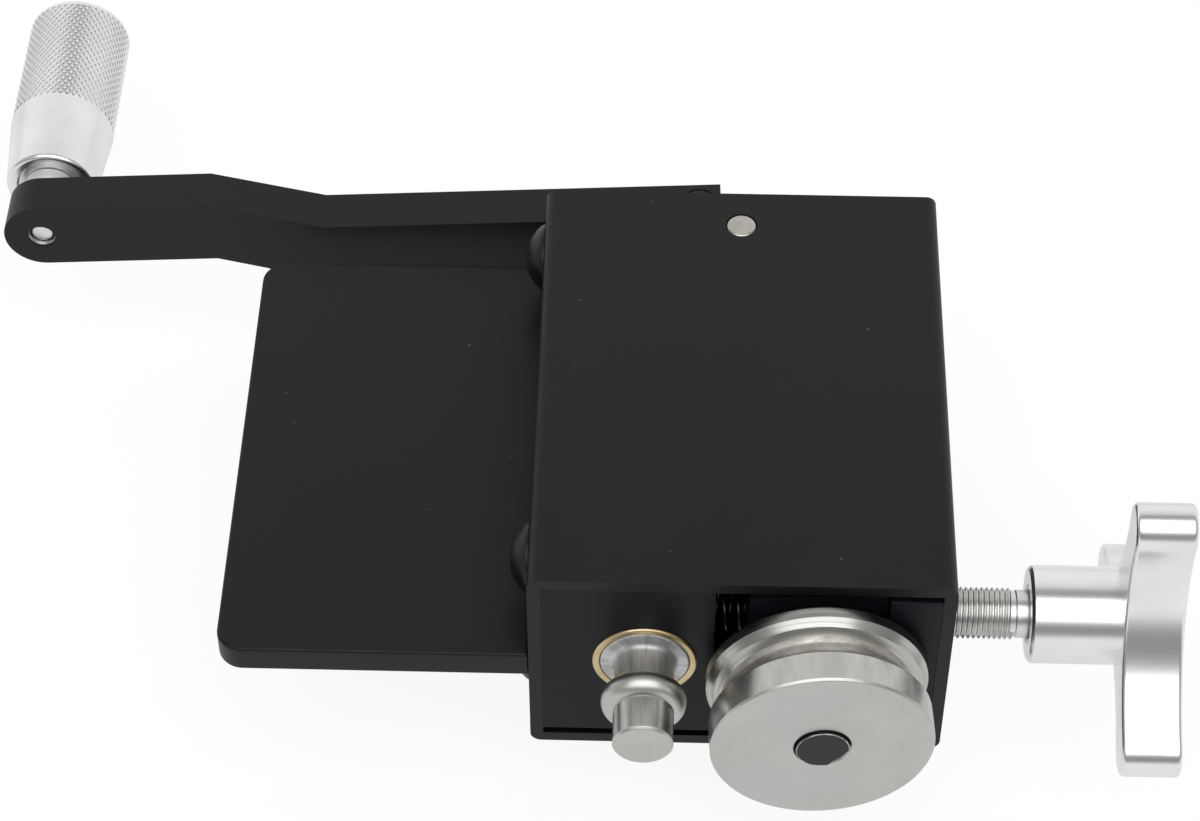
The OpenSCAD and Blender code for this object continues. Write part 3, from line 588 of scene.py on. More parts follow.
def geometry_tree(name, inputs):
    """A Geometry Nodes tree with its geometry output and named number inputs."""
    tree = bpy.data.node_groups.new(name, "GeometryNodeTree")
    tree.interface.new_socket("Geometry", in_out="OUTPUT", socket_type="NodeSocketGeometry")
    sockets = {}
    for label, kind in inputs:
        sockets[label] = tree.interface.new_socket(label, in_out="INPUT", socket_type=kind)
    return tree, tree.nodes.new("NodeGroupInput"), tree.nodes.new("NodeGroupOutput"), sockets


def grown(name, tree, sockets, values):
    """A plain mesh object made by a tree with those input values."""
    obj = link(bpy.data.objects.new(name, bpy.data.meshes.new(name)))
    modifier = obj.modifiers.new("grow", "NODES")
    modifier.node_group = tree
    for label, value in values.items():
        modifier[sockets[label].identifier] = value
    baked(obj)
    obj.data.materials.clear()
    return obj


def ended(tree, geometry, out, material):
    """Realizes a tree's instances, sets their material and joins them to its output."""
    realize = tree.nodes.new("GeometryNodeRealizeInstances")
    paint = tree.nodes.new("GeometryNodeSetMaterial")
    paint.inputs["Material"].default_value = material
    tree.links.new(geometry, realize.inputs["Geometry"])
    tree.links.new(realize.outputs["Geometry"], paint.inputs["Geometry"])
    tree.links.new(paint.outputs["Geometry"], out.inputs["Geometry"])


def knurl_tree(material):
    """Rows of little flat-topped pyramids round local Y, every other row half a pitch on."""
    tree, given, out, sockets = geometry_tree(
        "diamond_knurl",
        [
            ("Columns", "NodeSocketInt"),
            ("Rows", "NodeSocketInt"),
            ("Radius", "NodeSocketFloat"),
            ("Start", "NodeSocketFloat"),
            ("Row Step", "NodeSocketFloat"),
            ("Half Width", "NodeSocketFloat"),
            ("Half Length", "NodeSocketFloat"),
            ("Height", "NodeSocketFloat"),
        ],
    )
    flat_top = 0.42
    put = given.outputs
    index = tree.nodes.new("GeometryNodeInputIndex").outputs["Index"]
    share = math_node(tree, "DIVIDE", math_node(tree, "ADD", index, 0.5), put["Columns"])
    row = math_node(tree, "FLOOR", share)
    column = math_node(tree, "SUBTRACT", index, math_node(tree, "MULTIPLY", row, put["Columns"]))
    shift = math_node(tree, "MULTIPLY", math_node(tree, "MODULO", row, 2.0), 0.5)
    place = math_node(tree, "DIVIDE", math_node(tree, "ADD", column, shift), put["Columns"])
    turn = math_node(tree, "MULTIPLY", place, 2 * math.pi)
    across = math_node(tree, "COSINE", turn)
    up = math_node(tree, "SINE", turn)
    along = math_node(tree, "ADD", put["Start"], math_node(tree, "MULTIPLY", row, put["Row Step"]))
    position = combine(
        tree,
        math_node(tree, "MULTIPLY", across, put["Radius"]),
        along,
        math_node(tree, "MULTIPLY", up, put["Radius"]),
    )
    points = tree.nodes.new("GeometryNodePoints")
    count = math_node(tree, "MULTIPLY", put["Columns"], put["Rows"])
    tree.links.new(count, points.inputs["Count"])
    tree.links.new(position, points.inputs["Position"])
    pyramid = tree.nodes.new("GeometryNodeMeshCone")
    pyramid.inputs["Vertices"].default_value = 4
    pyramid.inputs["Radius Bottom"].default_value = 1.0
    pyramid.inputs["Radius Top"].default_value = flat_top
    pyramid.inputs["Depth"].default_value = 1.0
    facing = tree.nodes.new("FunctionNodeAxesToRotation")
    facing.primary_axis = "Z"
    facing.secondary_axis = "Y"
    tree.links.new(combine(tree, across, 0.0, up), facing.inputs["Primary Axis"])
    facing.inputs["Secondary Axis"].default_value = (0, 1, 0)
    spread = tree.nodes.new("GeometryNodeInstanceOnPoints")
    tree.links.new(points.outputs["Points"], spread.inputs["Points"])
    tree.links.new(pyramid.outputs["Mesh"], spread.inputs["Instance"])
    tree.links.new(facing.outputs["Rotation"], spread.inputs["Rotation"])
    size = combine(tree, put["Half Width"], put["Half Length"], put["Height"])
    tree.links.new(size, spread.inputs["Scale"])
    ended(tree, spread.outputs["Instances"], out, material)
    return tree, sockets


def thread_tree(material):
    """A helical ridge round local Z, with a flat crest."""
    tree, given, out, sockets = geometry_tree(
        "screw_thread",
        [
            ("Turns", "NodeSocketFloat"),
            ("Radius", "NodeSocketFloat"),
            ("Length", "NodeSocketFloat"),
            ("Base", "NodeSocketFloat"),
            ("Depth", "NodeSocketFloat"),
        ],
    )
    half_crest = 0.09
    put = given.outputs
    spiral = tree.nodes.new("GeometryNodeCurveSpiral")
    spiral.inputs["Resolution"].default_value = 48
    tree.links.new(put["Turns"], spiral.inputs["Rotations"])
    tree.links.new(put["Radius"], spiral.inputs["Start Radius"])
    tree.links.new(put["Radius"], spiral.inputs["End Radius"])
    tree.links.new(put["Length"], spiral.inputs["Height"])
    upright = tree.nodes.new("GeometryNodeSetCurveNormal")
    upright.mode = "Z_UP"
    tree.links.new(spiral.outputs["Curve"], upright.inputs["Curve"])
    profile = tree.nodes.new("GeometryNodeCurvePrimitiveQuadrilateral")
    profile.mode = "POINTS"
    half = math_node(tree, "MULTIPLY", put["Base"], 0.5)
    crest = math_node(tree, "MULTIPLY", put["Base"], half_crest)
    outward = math_node(tree, "MULTIPLY", put["Depth"], -1.0)
    corners = (
        combine(tree, 0.0, half, 0.0),
        combine(tree, outward, crest, 0.0),
        combine(tree, outward, math_node(tree, "MULTIPLY", crest, -1.0), 0.0),
        combine(tree, 0.0, math_node(tree, "MULTIPLY", half, -1.0), 0.0),
    )
    for number, corner in enumerate(corners, start=1):
        tree.links.new(corner, profile.inputs["Point %d" % number])
    sweep = tree.nodes.new("GeometryNodeCurveToMesh")
    sweep.inputs["Fill Caps"].default_value = True
    tree.links.new(upright.outputs["Curve"], sweep.inputs["Curve"])
    tree.links.new(profile.outputs["Curve"], sweep.inputs["Profile Curve"])
    ended(tree, sweep.outputs["Mesh"], out, material)
    return tree, sockets


# Pieces that keep their CAD shape, each with its rounded edges' width in mm and its finish

ROUNDED = {
    "housing": (0.45, BLACK),
    "vise_plate": (0.8, BLACK),
    "drive_block": (0.5, BLOCK),
    "swing_block": (0.5, BLOCK),
    "nut_block": (0.5, BLOCK),
    "block_screws": (0.35, DARK),
    "crank_arm": (0.9, BLACK),
    "crank_clamp_screw": (0.4, DARK),
    "pivot_pin": (0.25, PIN),
    "drive_collar": (0.5, ZINC),
    "nut_block_screws": (0.2, DARK),
    "pivot_washers": (0.2, BRONZE),
    "idler_thrust_washer": (0.3, BRONZE),
}
for node, (width, material) in ROUNDED.items():
    finish_piece(dressed(node, width), node, material)

# CAD nodes that no look stands for show in their slot's finish
for name, obj in nodes.items():
    obj.data.materials.clear()
    obj.data.materials.append(FINISHES[slot_of_node[name]])


# Turned pieces: in a profile, each corner is its radius, its distance along the axis and its fillet

FRONT = -65.0
BACK = 65.0

# Drive shaft: nose, barrel and bead in front, and the steps that run in the bushes behind
BARREL_R = 7.3
NOSE_END = FRONT - 25.2
NOSE_BACK = FRONT - 24.2
NOSE_CHAMFER = 0.6
BEAD = FRONT - 12.2
BEAD_ROUND = 3.5
BEAD_MIDDLE_R = 6.85
ROOT_R = 7.2
BUSH_FRONT = FRONT - 0.6
JOURNAL_R = 10.8
JOURNAL_END = FRONT + 25.7
REAR_R = 9.5
REAR_END = FRONT + 103.7
COLLAR_SEAT_R = 8.0
COLLAR_SEAT_END = BACK + 9.7
CRANK_SEAT_R = 6.35
SHAFT_END = BACK + 23.2
NOSE_PROFILE = filleted(
    [
        (0, NOSE_END, 0),
        (BARREL_R - NOSE_CHAMFER, NOSE_END, 0.2),
        (BARREL_R, NOSE_END + NOSE_CHAMFER, 0.2),
        (BARREL_R, NOSE_BACK, 0),
    ]
)
BARREL_PROFILE = [Vector((BARREL_R, NOSE_BACK)), Vector((BARREL_R, BEAD - 3.8))]
BEAD_PROFILE = BARREL_PROFILE[1:] + arc(BEAD_MIDDLE_R, BEAD, BEAD_ROUND, -81, 82)
ROOT_PROFILE = BEAD_PROFILE[-1:] + filleted(
    [
        (ROOT_R, BEAD + 3.7, 0),
        (ROOT_R, BUSH_FRONT, 2.2),
        (JOURNAL_R, BUSH_FRONT, 0.5),
        (JOURNAL_R, JOURNAL_END, 0.3),
        (REAR_R, JOURNAL_END, 0.3),
        (REAR_R, REAR_END, 0.3),
        (COLLAR_SEAT_R, REAR_END, 0.3),
        (COLLAR_SEAT_R, COLLAR_SEAT_END, 0.3),
        (CRANK_SEAT_R, COLLAR_SEAT_END, 0.2),
        (CRANK_SEAT_R, SHAFT_END, 0.6),
        (0, SHAFT_END, 0),
    ]
)
shaft = turned(
    "look_drive_shaft",
    along_y(DRIVE_AXIS),
    [(NOSE_PROFILE, 0), (BARREL_PROFILE, 1), (BEAD_PROFILE, 0), (ROOT_PROFILE, 2)],
)
finish_piece(shaft, "drive_shaft", STEEL, ROLLED, ROOT)

BUSH_BORE = 10.84
BUSH_R = 12.7
BUSH_BACK = FRONT + 26
BUSH_PROFILE = filleted(
    [
        (BUSH_BORE, BUSH_BACK, 0),
        (BUSH_BORE, BUSH_FRONT, 0.6),
        (BUSH_R, BUSH_FRONT, 0.6),
        (BUSH_R, BUSH_BACK, 0),
        (BUSH_BORE, BUSH_BACK, 0),
    ]
)
bush = lathe("look_drive_bush_front", BUSH_PROFILE, along_y(DRIVE_AXIS))
finish_piece(bush, "drive_bush_front", BRONZE)

# Grooved roller: distances along it are counted from the swing block's front
ROLLER_R = 26.7
ROLLER_BORE = 6.4
ROLLER_BACK = -3.4
ROLLER_FACE = -25.4
FLANGE_CHAMFER = 0.8
FLANGE_END = -7.0
WALL_FOOT = (23.2, -10.0, 0)
GROOVE_R = 22.4
RIM_START = (26.5, -17.1, 0)
RIM_END = -24.75
FLANGE_PROFILE = filleted(
    [
        (ROLLER_BORE, ROLLER_BACK, 0),
        (ROLLER_R - FLANGE_CHAMFER, ROLLER_BACK, 0.6),
        (ROLLER_R, ROLLER_BACK - FLANGE_CHAMFER, 0.6),
        (ROLLER_R, FLANGE_END, 0),
    ]
)
CHAMFER_PROFILE = filleted([(ROLLER_R, FLANGE_END, 0), (25.1, -8.85, 0.5), WALL_FOOT])
GROOVE_PROFILE = filleted(
    [
        WALL_FOOT,
        (GROOVE_R, -11.3, 1.5),
        (GROOVE_R, -14.2, 2.5),
        (25.0, -16.3, 0.9),
        RIM_START,
    ]
)
RIM_PROFILE = filleted(
    [
        RIM_START,
        (ROLLER_R, -17.3, 0.2),
        (ROLLER_R, -17.8, 0),
        (ROLLER_R, RIM_END, 0),
    ]
)
FACE_PROFILE = filleted(
    [
        (ROLLER_R, RIM_END, 0),
        (26.3, -25.3, 0.1),
        (26.1, ROLLER_FACE, 0.1),
        (7.0, ROLLER_FACE, 0.3),
        (6.45, -24.8, 0.2),
        (ROLLER_BORE, ROLLER_BACK, 0),
    ]
)
roller = turned(
    "look_groove_roller",
    along_idler(),
    [
        (FACE_PROFILE, 0),
        (FLANGE_PROFILE, 1),
        (CHAMFER_PROFILE, 2),
        (GROOVE_PROFILE, 3),
        (RIM_PROFILE, 4),
    ],
    segments=160,
)
finish_piece(roller, "groove_roller", STEEL, FLANGE_SHADE, CHAMFER, GROOVED, RUBBED)

# The idler shaft's D end, with a bright wire along its round edge as a painted highlight
STUB_R = 6.35
FLAT_DEPTH = 1.3
FLAT_TURN = math.radians(-41)
CAD_STUB_END = -27.1
STUB_END = -26.1
STUB_END_ZONE = 0.5
EDGE_WIRE = 0.16
EDGE_SINK = 0.11


def pulled_in(obj):
    """Brings the shaft's end face nearer the roller's face."""
    place = along_idler()
    back = place.inverted()
    for vertex in obj.data.vertices:
        spot = back @ vertex.co
        if spot.y < CAD_STUB_END + STUB_END_ZONE:
            spot.y += STUB_END - CAD_STUB_END
            vertex.co = place @ spot
    return obj


def stub_edge_highlight():
    """A thin bright wire sunk in the round part of the end's edge, as a painted highlight on that edge.
    """
    half = math.acos((STUB_R - FLAT_DEPTH) / STUB_R)
    inset = Vector((0, STUB_END + EDGE_SINK, 0))
    steps = 90
    path = []
    for k in range(steps + 1):
        turn = FLAT_TURN + half + (2 * math.pi - 2 * half) * k / steps
        out = Vector((math.cos(turn), 0, math.sin(turn)))
        heading = Vector((-math.sin(turn), 0, math.cos(turn)))
        path.append((out * (STUB_R - EDGE_SINK) + inset, out, heading))
    edge = wire("stub_edge", path, EDGE_WIRE, sides=10, slot=1)
    edge.data.transform(along_idler())
    return edge


stub = pulled_in(dressed("idler_shaft", 0.3))
joined(stub, stub_edge_highlight())
finish_piece(stub, "idler_shaft", DARK, BRIGHT_EDGE)

# Grip: a bored sleeve with a knurled outer stretch and a smooth taper beside the arm

GRIP_NEAR = BACK + 38.1
GRIP_FAR = BACK + 101.0
GRIP_SEAT = BACK + 47.4
GRIP_BORE = 4.79
GRIP_BORE_END = GRIP_FAR - 10
MOUTH_R = 9.5
MOUTH_CHAMFER = 0.2
NEAR_R = 12.5
NEAR_ROUND = 1.3
TAPER_R = 14.45
KNURL_START = BACK + 61.5
KNURL_END = GRIP_FAR - 0.5
KNURL_ROW = 1.3
KNURL_COLUMNS = 46
KNURL_ROOT = 14.05
KNURL_SINK = 0.06
KNURL_HEIGHT = 0.38
BORE_PROFILE = filleted(
    [
        (0, GRIP_BORE_END, 0),
        (GRIP_BORE, GRIP_BORE_END, 0.3),
        (GRIP_BORE, GRIP_SEAT, 0),
        (MOUTH_R, GRIP_SEAT, 0.2),
        (MOUTH_R, GRIP_NEAR + MOUTH_CHAMFER, 0.05),
        (MOUTH_R + MOUTH_CHAMFER, GRIP_NEAR, 0),
    ]
)
GRIP_PROFILE = (
    BORE_PROFILE[-1:]
    + arc(NEAR_R - NEAR_ROUND, GRIP_NEAR + NEAR_ROUND, NEAR_ROUND, -90, -5)
    + filleted(
        [
            (NEAR_R + 0.02, GRIP_NEAR + NEAR_ROUND + 0.3, 0),
            (TAPER_R, KNURL_START - 0.7, 0.3),
            (KNURL_ROOT, KNURL_START - 0.3, 0.1),
            (KNURL_ROOT, GRIP_FAR - 1.5, 0),
            (KNURL_ROOT, GRIP_FAR, 0.8),
            (0, GRIP_FAR, 0),
        ]
    )
)
grip = turned("look_handle_grip", along_y(GRIP_AXIS), [(GRIP_PROFILE, 0), (BORE_PROFILE, 1)])
tree, sockets = knurl_tree(ALUMINIUM)
knurl = grown(
    "knurl",
    tree,
    sockets,
    {
        "Columns": KNURL_COLUMNS,
        "Rows": int((KNURL_END - KNURL_START) / KNURL_ROW) - 1,
        "Radius": (KNURL_ROOT - KNURL_SINK) * MM,
        "Start": (KNURL_START + KNURL_ROW) * MM,
        "Row Step": KNURL_ROW * MM,
        "Half Width": math.pi * KNURL_ROOT / KNURL_COLUMNS * MM,
        "Half Length": KNURL_ROW * MM,
        "Height": KNURL_HEIGHT * MM,
    },
)
knurl.data.transform(Matrix.Translation((GRIP_AXIS.x, 0, GRIP_AXIS.z)))
joined(grip, knurl)
finish_piece(grip, "handle_grip", ALUMINIUM, SATIN)

# The spindle's tail ends in a recess in the arm's front, with a thin bright ring in its mouth
RECESS = BACK + 21.1
TAIL = RECESS - 0.4
TAIL_R = 2.8
NECK_START = BACK + 31.8
NECK_END = GRIP_NEAR + 0.7
NECK_R = 7.2
WAIST_R = 5.3
DISC_START = GRIP_NEAR + 0.9
DISC_END = GRIP_NEAR + 1.9
DISC_R = 9.3
SHOULDER_START = BACK + 43.9
SHOULDER_END = BACK + 47.1
SHOULDER_R = 9.2
STEM_R = 4.75
STEM_END = GRIP_FAR - 10.3
MOUTH_RING_END = RECESS - 0.05
TAIL_PROFILE = filleted(
    [
        (0, TAIL, 0),
        (TAIL_R, TAIL, 0.25),
        (TAIL_R, NECK_START, 0),
    ]
)
NECK_PROFILE = filleted(
    [
        (TAIL_R, NECK_START, 0),
        (NECK_R, NECK_START, 0.4),
        (NECK_R, NECK_END, 0.3),
        (WAIST_R, NECK_END, 0),
    ]
)
STEM_PROFILE = filleted(
    [
        (WAIST_R, NECK_END, 0),
        (WAIST_R, DISC_START, 0),
        (DISC_R, DISC_START, 0.3),
        (DISC_R, DISC_END, 0.3),
        (WAIST_R, DISC_END, 0),
        (WAIST_R, SHOULDER_START, 0),
        (SHOULDER_R, SHOULDER_START, 0.3),
        (SHOULDER_R, SHOULDER_END, 0.3),
        (STEM_R, SHOULDER_END, 0),
        (STEM_R, STEM_END, 0.3),
        (0, STEM_END, 0),
    ]
)
# A thin bright ring in the recess's mouth, in the spindle's zinc finish
MOUTH_RING_PROFILE = filleted(
    [
        (3.3, MOUTH_RING_END, 0),
        (3.66, RECESS - 1.6, 0.05),
        (3.68, MOUTH_RING_END, 0.01),
        (3.3, MOUTH_RING_END, 0),
    ]
)
spindle = turned(
    "look_handle_spindle",
    along_y(GRIP_AXIS),
    [(TAIL_PROFILE, 0), (NECK_PROFILE, 1), (STEM_PROFILE, 0)],
)
joined(spindle, lathe("bright_edge", MOUTH_RING_PROFILE, along_y(GRIP_AXIS), segments=48))
finish_piece(spindle, "handle_spindle", ZINC, SATIN)


# Adjusting screw with its thread, and the star knob

SCREW_TIP = 42.5
PIVOT_TIP = SCREW_TIP - 4
PIVOT_R = 3.0
HUB = 70.4
PITCH = 1.27
THREAD_R = 6.35
THREAD_DEPTH = 0.72
THREAD_SINK = 0.02
THREAD_BASE = 0.96 * PITCH
THREAD_MARGIN = 0.75
THREAD_END = HUB - 3.2
CORE_R = THREAD_R - THREAD_DEPTH
PLAIN_R = 5.9
PLAIN_END = HUB + 0.9
SPIGOT_R = 5.3
SPIGOT_END = HUB + 26
SCREW_PROFILE = filleted(
    [
        (0, PIVOT_TIP, 0),
        (PIVOT_R, PIVOT_TIP, 0.3),
        (PIVOT_R, SCREW_TIP, 0),
        (5.2, SCREW_TIP, 0.2),
        (CORE_R, SCREW_TIP + 0.6, 0.1),
        (CORE_R, THREAD_END, 0.1),
        (PLAIN_R, THREAD_END + 0.3, 0.1),
        (PLAIN_R, PLAIN_END, 0.1),
        (SPIGOT_R, PLAIN_END, 0),
        (SPIGOT_R, SPIGOT_END, 0.3),
        (0, SPIGOT_END, 0),
    ]
)
screw = lathe("look_adjusting_screw", SCREW_PROFILE, along_x(SCREW_AXIS), segments=96)
tree, sockets = thread_tree(ZINC)
thread_length = THREAD_END - SCREW_TIP - 2 * THREAD_MARGIN
thread = grown(
    "thread",
    tree,
    sockets,
    {
        "Turns": thread_length / PITCH,
        "Radius": (CORE_R - THREAD_SINK) * MM,
        "Length": thread_length * MM,
        "Base": THREAD_BASE * MM,
        "Depth": THREAD_DEPTH * MM,
    },
)
thread.data.transform(
    Matrix.Translation(((SCREW_TIP + THREAD_MARGIN) * MM, SCREW_AXIS.y, SCREW_AXIS.z))
    @ Matrix.Rotation(math.pi / 2, 4, "Y")
)
shade(thread.data, 25)
joined(screw, thread)
finish_piece(screw, "adjusting_screw", ZINC)


# Star knob: how far the lobes reach, the hollows' distance and radius, and the first lobe's turn
STAR_REACH = 39.2
STAR_VALLEY = 13.0
STAR_SIDE = 40.0
STAR_TURN = math.radians(89)
STAR_BACK = HUB + 22.0
STAR_FRONT = STAR_BACK + 14.6
STAR_EDGE = 1.2
HUB_R = 12.0
HUB_CHAMFER = 0.8
HUB_MOUTH_R = 7.35
HUB_MOUTH_DEPTH = 1
HUB_BORE = 5.35
HUB_BORE_END = HUB + 24


def star_outline(reach, valley, side, start, steps=14):
    """Points of a three-lobed star with concave sides, in mm, anticlockwise from the first lobe."""
    side_d = valley + side
    ahead = reach - side_d / 2
    across = side_d * math.sin(math.pi / 3)
    tip = (ahead**2 + across**2 - side**2) / (2 * (ahead + side))
    tip_d = reach - tip
    lean = math.atan2(across, side_d / 2 - tip_d)
    points = []
    for lobe in range(3):
        turn = start + lobe * 2 * math.pi / 3
        centre = tip_d * Vector((math.cos(turn), math.sin(turn)))
        for k in range(steps + 1):
            a = turn - lean + 2 * lean * k / steps
            points.append(centre + tip * Vector((math.cos(a), math.sin(a))))
        middle = turn + math.pi / 3
        hollow = side_d * Vector((math.cos(middle), math.sin(middle)))
        first = turn + lean + math.pi
        last = 2 * middle - first
        sweep = (last - first + math.pi) % (2 * math.pi) - math.pi
        for k in range(1, 3 * steps):
            a = first + sweep * k / (3 * steps)
            points.append(hollow + side * Vector((math.cos(a), math.sin(a))))
    return points


def star_knob():
    """The star, with its outer edges rounded, and its hub."""
    outline = star_outline(STAR_REACH, STAR_VALLEY, STAR_SIDE, STAR_TURN)
    work = bmesh.new()
    lower = [work.verts.new(Vector((STAR_BACK, p.x, p.y)) * MM) for p in outline]
    upper = [work.verts.new(Vector((STAR_FRONT, p.x, p.y)) * MM) for p in outline]
    work.faces.new(lower)
    work.faces.new(upper)
    for i in range(len(outline)):
        k = (i + 1) % len(outline)
        work.faces.new((lower[i], lower[k], upper[k], upper[i]))
    bmesh.ops.recalc_face_normals(work, faces=work.faces)
    bmesh.ops.translate(work, verts=work.verts, vec=(0, SCREW_AXIS.y, SCREW_AXIS.z))
    star = rounded(as_object("look_star_knob", work), STAR_EDGE, segments=5, angle=50)
    hub_profile = filleted(
        [
            (HUB_BORE, HUB_BORE_END, 0),
            (HUB_BORE, HUB + HUB_MOUTH_DEPTH, 0),
            (HUB_MOUTH_R, HUB + HUB_MOUTH_DEPTH, 0.1),
            (HUB_MOUTH_R, HUB, 0.2),
            (HUB_R - HUB_CHAMFER, HUB, 0.4),
            (HUB_R, HUB + HUB_CHAMFER, 0.4),
            (HUB_R, STAR_BACK + 0.5, 0),
            (HUB_BORE, HUB_BORE_END, 0),
        ]
    )
    hub = lathe("hub", hub_profile, along_x(SCREW_AXIS), segments=96)
    joined(star, hub)
    return finish_piece(star, "star_knob", ALUMINIUM)


star_knob()


# Weld and return spring


def weld_bead():
    """A fillet of overlapping ripples between the plate and the housing."""
    low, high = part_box("plate_weld")
    leg = high.x - low.x
    rings = 260
    around = 8
    ripples = 38
    ripple_height = 0.14
    hollow = 0.26
    work = bmesh.new()
    rows = []
    for i in range(rings + 1):
        share = i / rings
        corner = Vector((high.x, low.y + share * (high.y - low.y), high.z))
        ripple = abs(math.sin(share * ripples * math.pi))
        reach = leg * (1 - ripple_height + ripple_height * ripple)
        row = [work.verts.new(corner)]
        for k in range(around + 1):
            turn = math.pi + 0.5 * math.pi * k / around
            bulge = reach * (1 - hollow + hollow * abs(math.cos(2 * turn)))
            out = Vector((math.cos(turn), 0, math.sin(turn)))
            row.append(work.verts.new(corner + bulge * out))
        rows.append(row)
    for a, b in zip(rows, rows[1:]):
        for k in range(len(a)):
            j = (k + 1) % len(a)
            work.faces.new((a[k], a[j], b[j], b[k]))
    work.faces.new(rows[0])
    work.faces.new(rows[-1])
    bmesh.ops.recalc_face_normals(work, faces=work.faces)
    weld = as_object("look_plate_weld", work)
    shade(weld.data, 40)
    return finish_piece(weld, "plate_weld", BLACK)


weld_bead()


def coil_spring():
    """The return spring as a round wire."""
    low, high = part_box("return_spring")
    thickness = 1.3 * MM
    outside = 12.0 * MM
    mean = outside / 2 - thickness / 2
    curls = 3.375
    steps = 40
    start = math.radians(80)
    run = high.x - low.x - thickness
    rise = run / curls / (2 * math.pi * mean)
    count = round(curls * steps)
    path = []
    for i in range(count + 1):
        turn = start + 2 * math.pi * i / steps
        out = Vector((0, math.cos(turn), math.sin(turn)))
        heading = Vector((rise, -math.sin(turn), math.cos(turn))).normalized()
        middle = Vector((low.x + thickness / 2 + run * i / count, SCREW_AXIS.y, SCREW_AXIS.z))
        path.append((middle + out * mean, out, heading))
    spring = wire("look_return_spring", path, thickness / 2)
    finish_piece(spring, "return_spring", SPRING)
    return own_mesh(spring)


coil_spring()


# Studio: white floor and backdrop, a soft light and the camera

# How much of the floor's and the backdrop's own white the camera and shiny surfaces see
FLOOR_TO_CAMERA = 0.86
FLOOR_TO_METAL = 0.55
BACKDROP_TO_CAMERA = 1.0
BACKDROP_TO_METAL = 0.2


def white_share(tree, to_camera, to_metal):
    """The share of a background's own white that a ray sees, by what sent the ray."""
    path = tree.nodes.new("ShaderNodeLightPath").outputs
    shiny = math_node(tree, "MAXIMUM", path["Is Glossy Ray"], path["Is Transmission Ray"])
    seen = math_node(tree, "MULTIPLY", path["Is Camera Ray"], to_camera)
    mirrored = math_node(tree, "MULTIPLY", shiny, to_metal)
    return math_node(tree, "MAXIMUM", seen, mirrored)


def pale_floor():
    """A pale material that is white to the camera and partly so to metal, with a faint shadow."""
    pale = (0.9, 0.9, 0.9, 1)
    white_strength = 1.05
    material = bpy.data.materials.new("pale_floor")
    material.use_nodes = True
    tree = material.node_tree
    tree.nodes.clear()
    out = tree.nodes.new("ShaderNodeOutputMaterial")
    diffuse = tree.nodes.new("ShaderNodeBsdfDiffuse")
    diffuse.inputs["Color"].default_value = pale
    glow = tree.nodes.new("ShaderNodeEmission")
    glow.inputs["Strength"].default_value = white_strength
    mix = tree.nodes.new("ShaderNodeMixShader")
    tree.links.new(white_share(tree, FLOOR_TO_CAMERA, FLOOR_TO_METAL), mix.inputs["Fac"])
    tree.links.new(diffuse.outputs["BSDF"], mix.inputs[1])
    tree.links.new(glow.outputs["Emission"], mix.inputs[2])
    tree.links.new(mix.outputs["Shader"], out.inputs["Surface"])
    return material


def floor():
    """A level square a little below the part."""
    half = 3.0
    drop = 0.02
    mesh = bpy.data.meshes.new("floor")
    corners = [(-half, -half, 0), (half, -half, 0), (half, half, 0), (-half, half, 0)]
    mesh.from_pydata(corners, [], [(0, 1, 2, 3)])
    mesh.materials.append(pale_floor())
    obj = link(bpy.data.objects.new("floor", mesh))
    obj.location.z = -drop


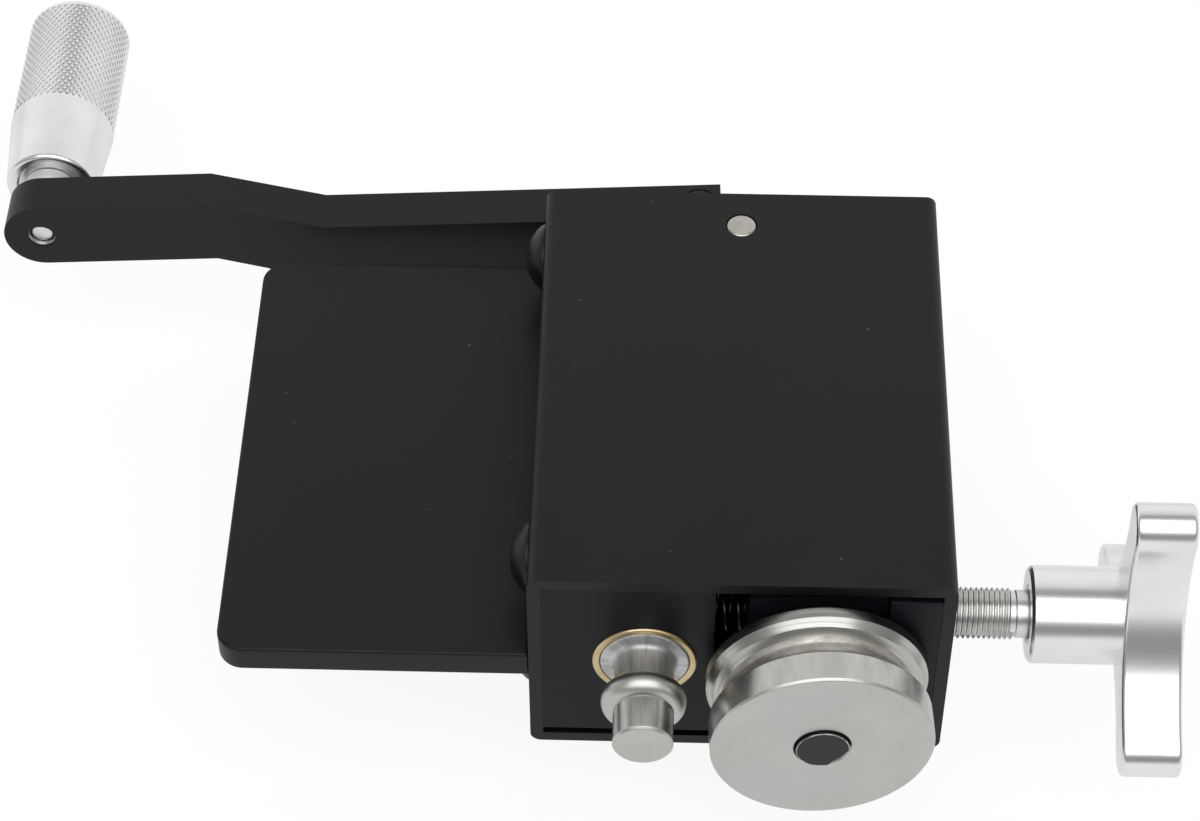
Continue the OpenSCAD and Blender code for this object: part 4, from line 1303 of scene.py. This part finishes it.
def world():
    """A white backdrop over the light of a room, which is grey in front and overhead and pale behind.

    The stops are places from the front over the top to the back, from 0 to 1, and the room's tone."""
    scene_world = bpy.data.worlds.new("studio")
    scene_world.use_nodes = True
    bpy.context.scene.world = scene_world
    tree = scene_world.node_tree
    tree.nodes.clear()
    out = tree.nodes.new("ShaderNodeOutputWorld")
    white = tree.nodes.new("ShaderNodeBackground")
    white.inputs["Color"].default_value = (1, 1, 1, 1)
    room = tree.nodes.new("ShaderNodeBackground")
    direction = tree.nodes.new("ShaderNodeTexCoord").outputs["Generated"]
    split = tree.nodes.new("ShaderNodeSeparateXYZ")
    tree.links.new(direction, split.inputs["Vector"])
    ahead = math_node(tree, "MULTIPLY", split.outputs["Y"], -1.0)
    angle = math_node(tree, "ARCTAN2", split.outputs["Z"], ahead)
    share = math_node(tree, "DIVIDE", angle, math.pi, clamp=True)
    tone = tree.nodes.new("ShaderNodeValToRGB")
    stops = (
        (0.0, 0.38),
        (0.05, 0.08),
        (0.12, 0.08),
        (0.2, 0.38),
        (0.5, 0.38),
        (0.54, 0.08),
        (0.59, 0.08),
        (0.67, 0.81),
        (0.8, 0.98),
        (1.0, 0.94),
    )
    ramp = tone.color_ramp.elements
    for place, _ in stops[1:-1]:
        ramp.new(place)
    for element, (place, value) in zip(ramp, stops):
        element.position = place
        element.color = (value, value, value, 1)
    tree.links.new(share, tone.inputs["Fac"])
    tree.links.new(tone.outputs["Color"], room.inputs["Color"])
    mix = tree.nodes.new("ShaderNodeMixShader")
    tree.links.new(white_share(tree, BACKDROP_TO_CAMERA, BACKDROP_TO_METAL), mix.inputs["Fac"])
    tree.links.new(room.outputs["Background"], mix.inputs[1])
    tree.links.new(white.outputs["Background"], mix.inputs[2])
    tree.links.new(mix.outputs["Shader"], out.inputs["Surface"])


def softbox(name, place, target, width, height, power):
    """A rectangular lamp at a place, turned to a target, in metres and watts."""
    data = bpy.data.lights.new(name, "AREA")
    data.shape = "RECTANGLE"
    data.size = width
    data.size_y = height
    data.energy = power
    obj = link(bpy.data.objects.new(name, data))
    obj.location = place
    aim = Vector(target) - Vector(place)
    obj.rotation_euler = aim.to_track_quat("-Z", "Y").to_euler()


def camera():
    """The photo's viewpoint, from a fit to the object's straight edges.

    The focal length and the frame's width are in pixels, and the place is in metres."""
    focal = 3241.0
    width = 1200.0
    place = Vector((-0.0198, -0.5368, 0.6603))
    yaw = math.radians(-1.64)
    pitch = math.radians(48.62)
    roll = math.radians(0.13)
    ahead = Vector((math.sin(yaw), math.cos(yaw), 0))
    forward = ahead * math.cos(pitch) - Vector((0, 0, math.sin(pitch)))
    level = Vector((math.cos(yaw), -math.sin(yaw), 0))
    down = forward.cross(level)
    right = math.cos(roll) * level + math.sin(roll) * down
    up = math.sin(roll) * level - math.cos(roll) * down
    data = bpy.data.cameras.new("camera")
    data.sensor_width = 36.0
    data.lens = focal / width * data.sensor_width
    data.clip_end = 20
    obj = link(bpy.data.objects.new("camera", data))
    turn = Matrix((right, up, -forward)).transposed()
    obj.matrix_world = Matrix.Translation(place) @ turn.to_4x4()
    bpy.context.scene.camera = obj


floor()
world()
softbox("front", place=(0.0, -0.8, 1.5), target=(0, 0, 0), width=2.2, height=1.58, power=19)
camera()
bpy.context.scene.view_settings.view_transform = "Standard"
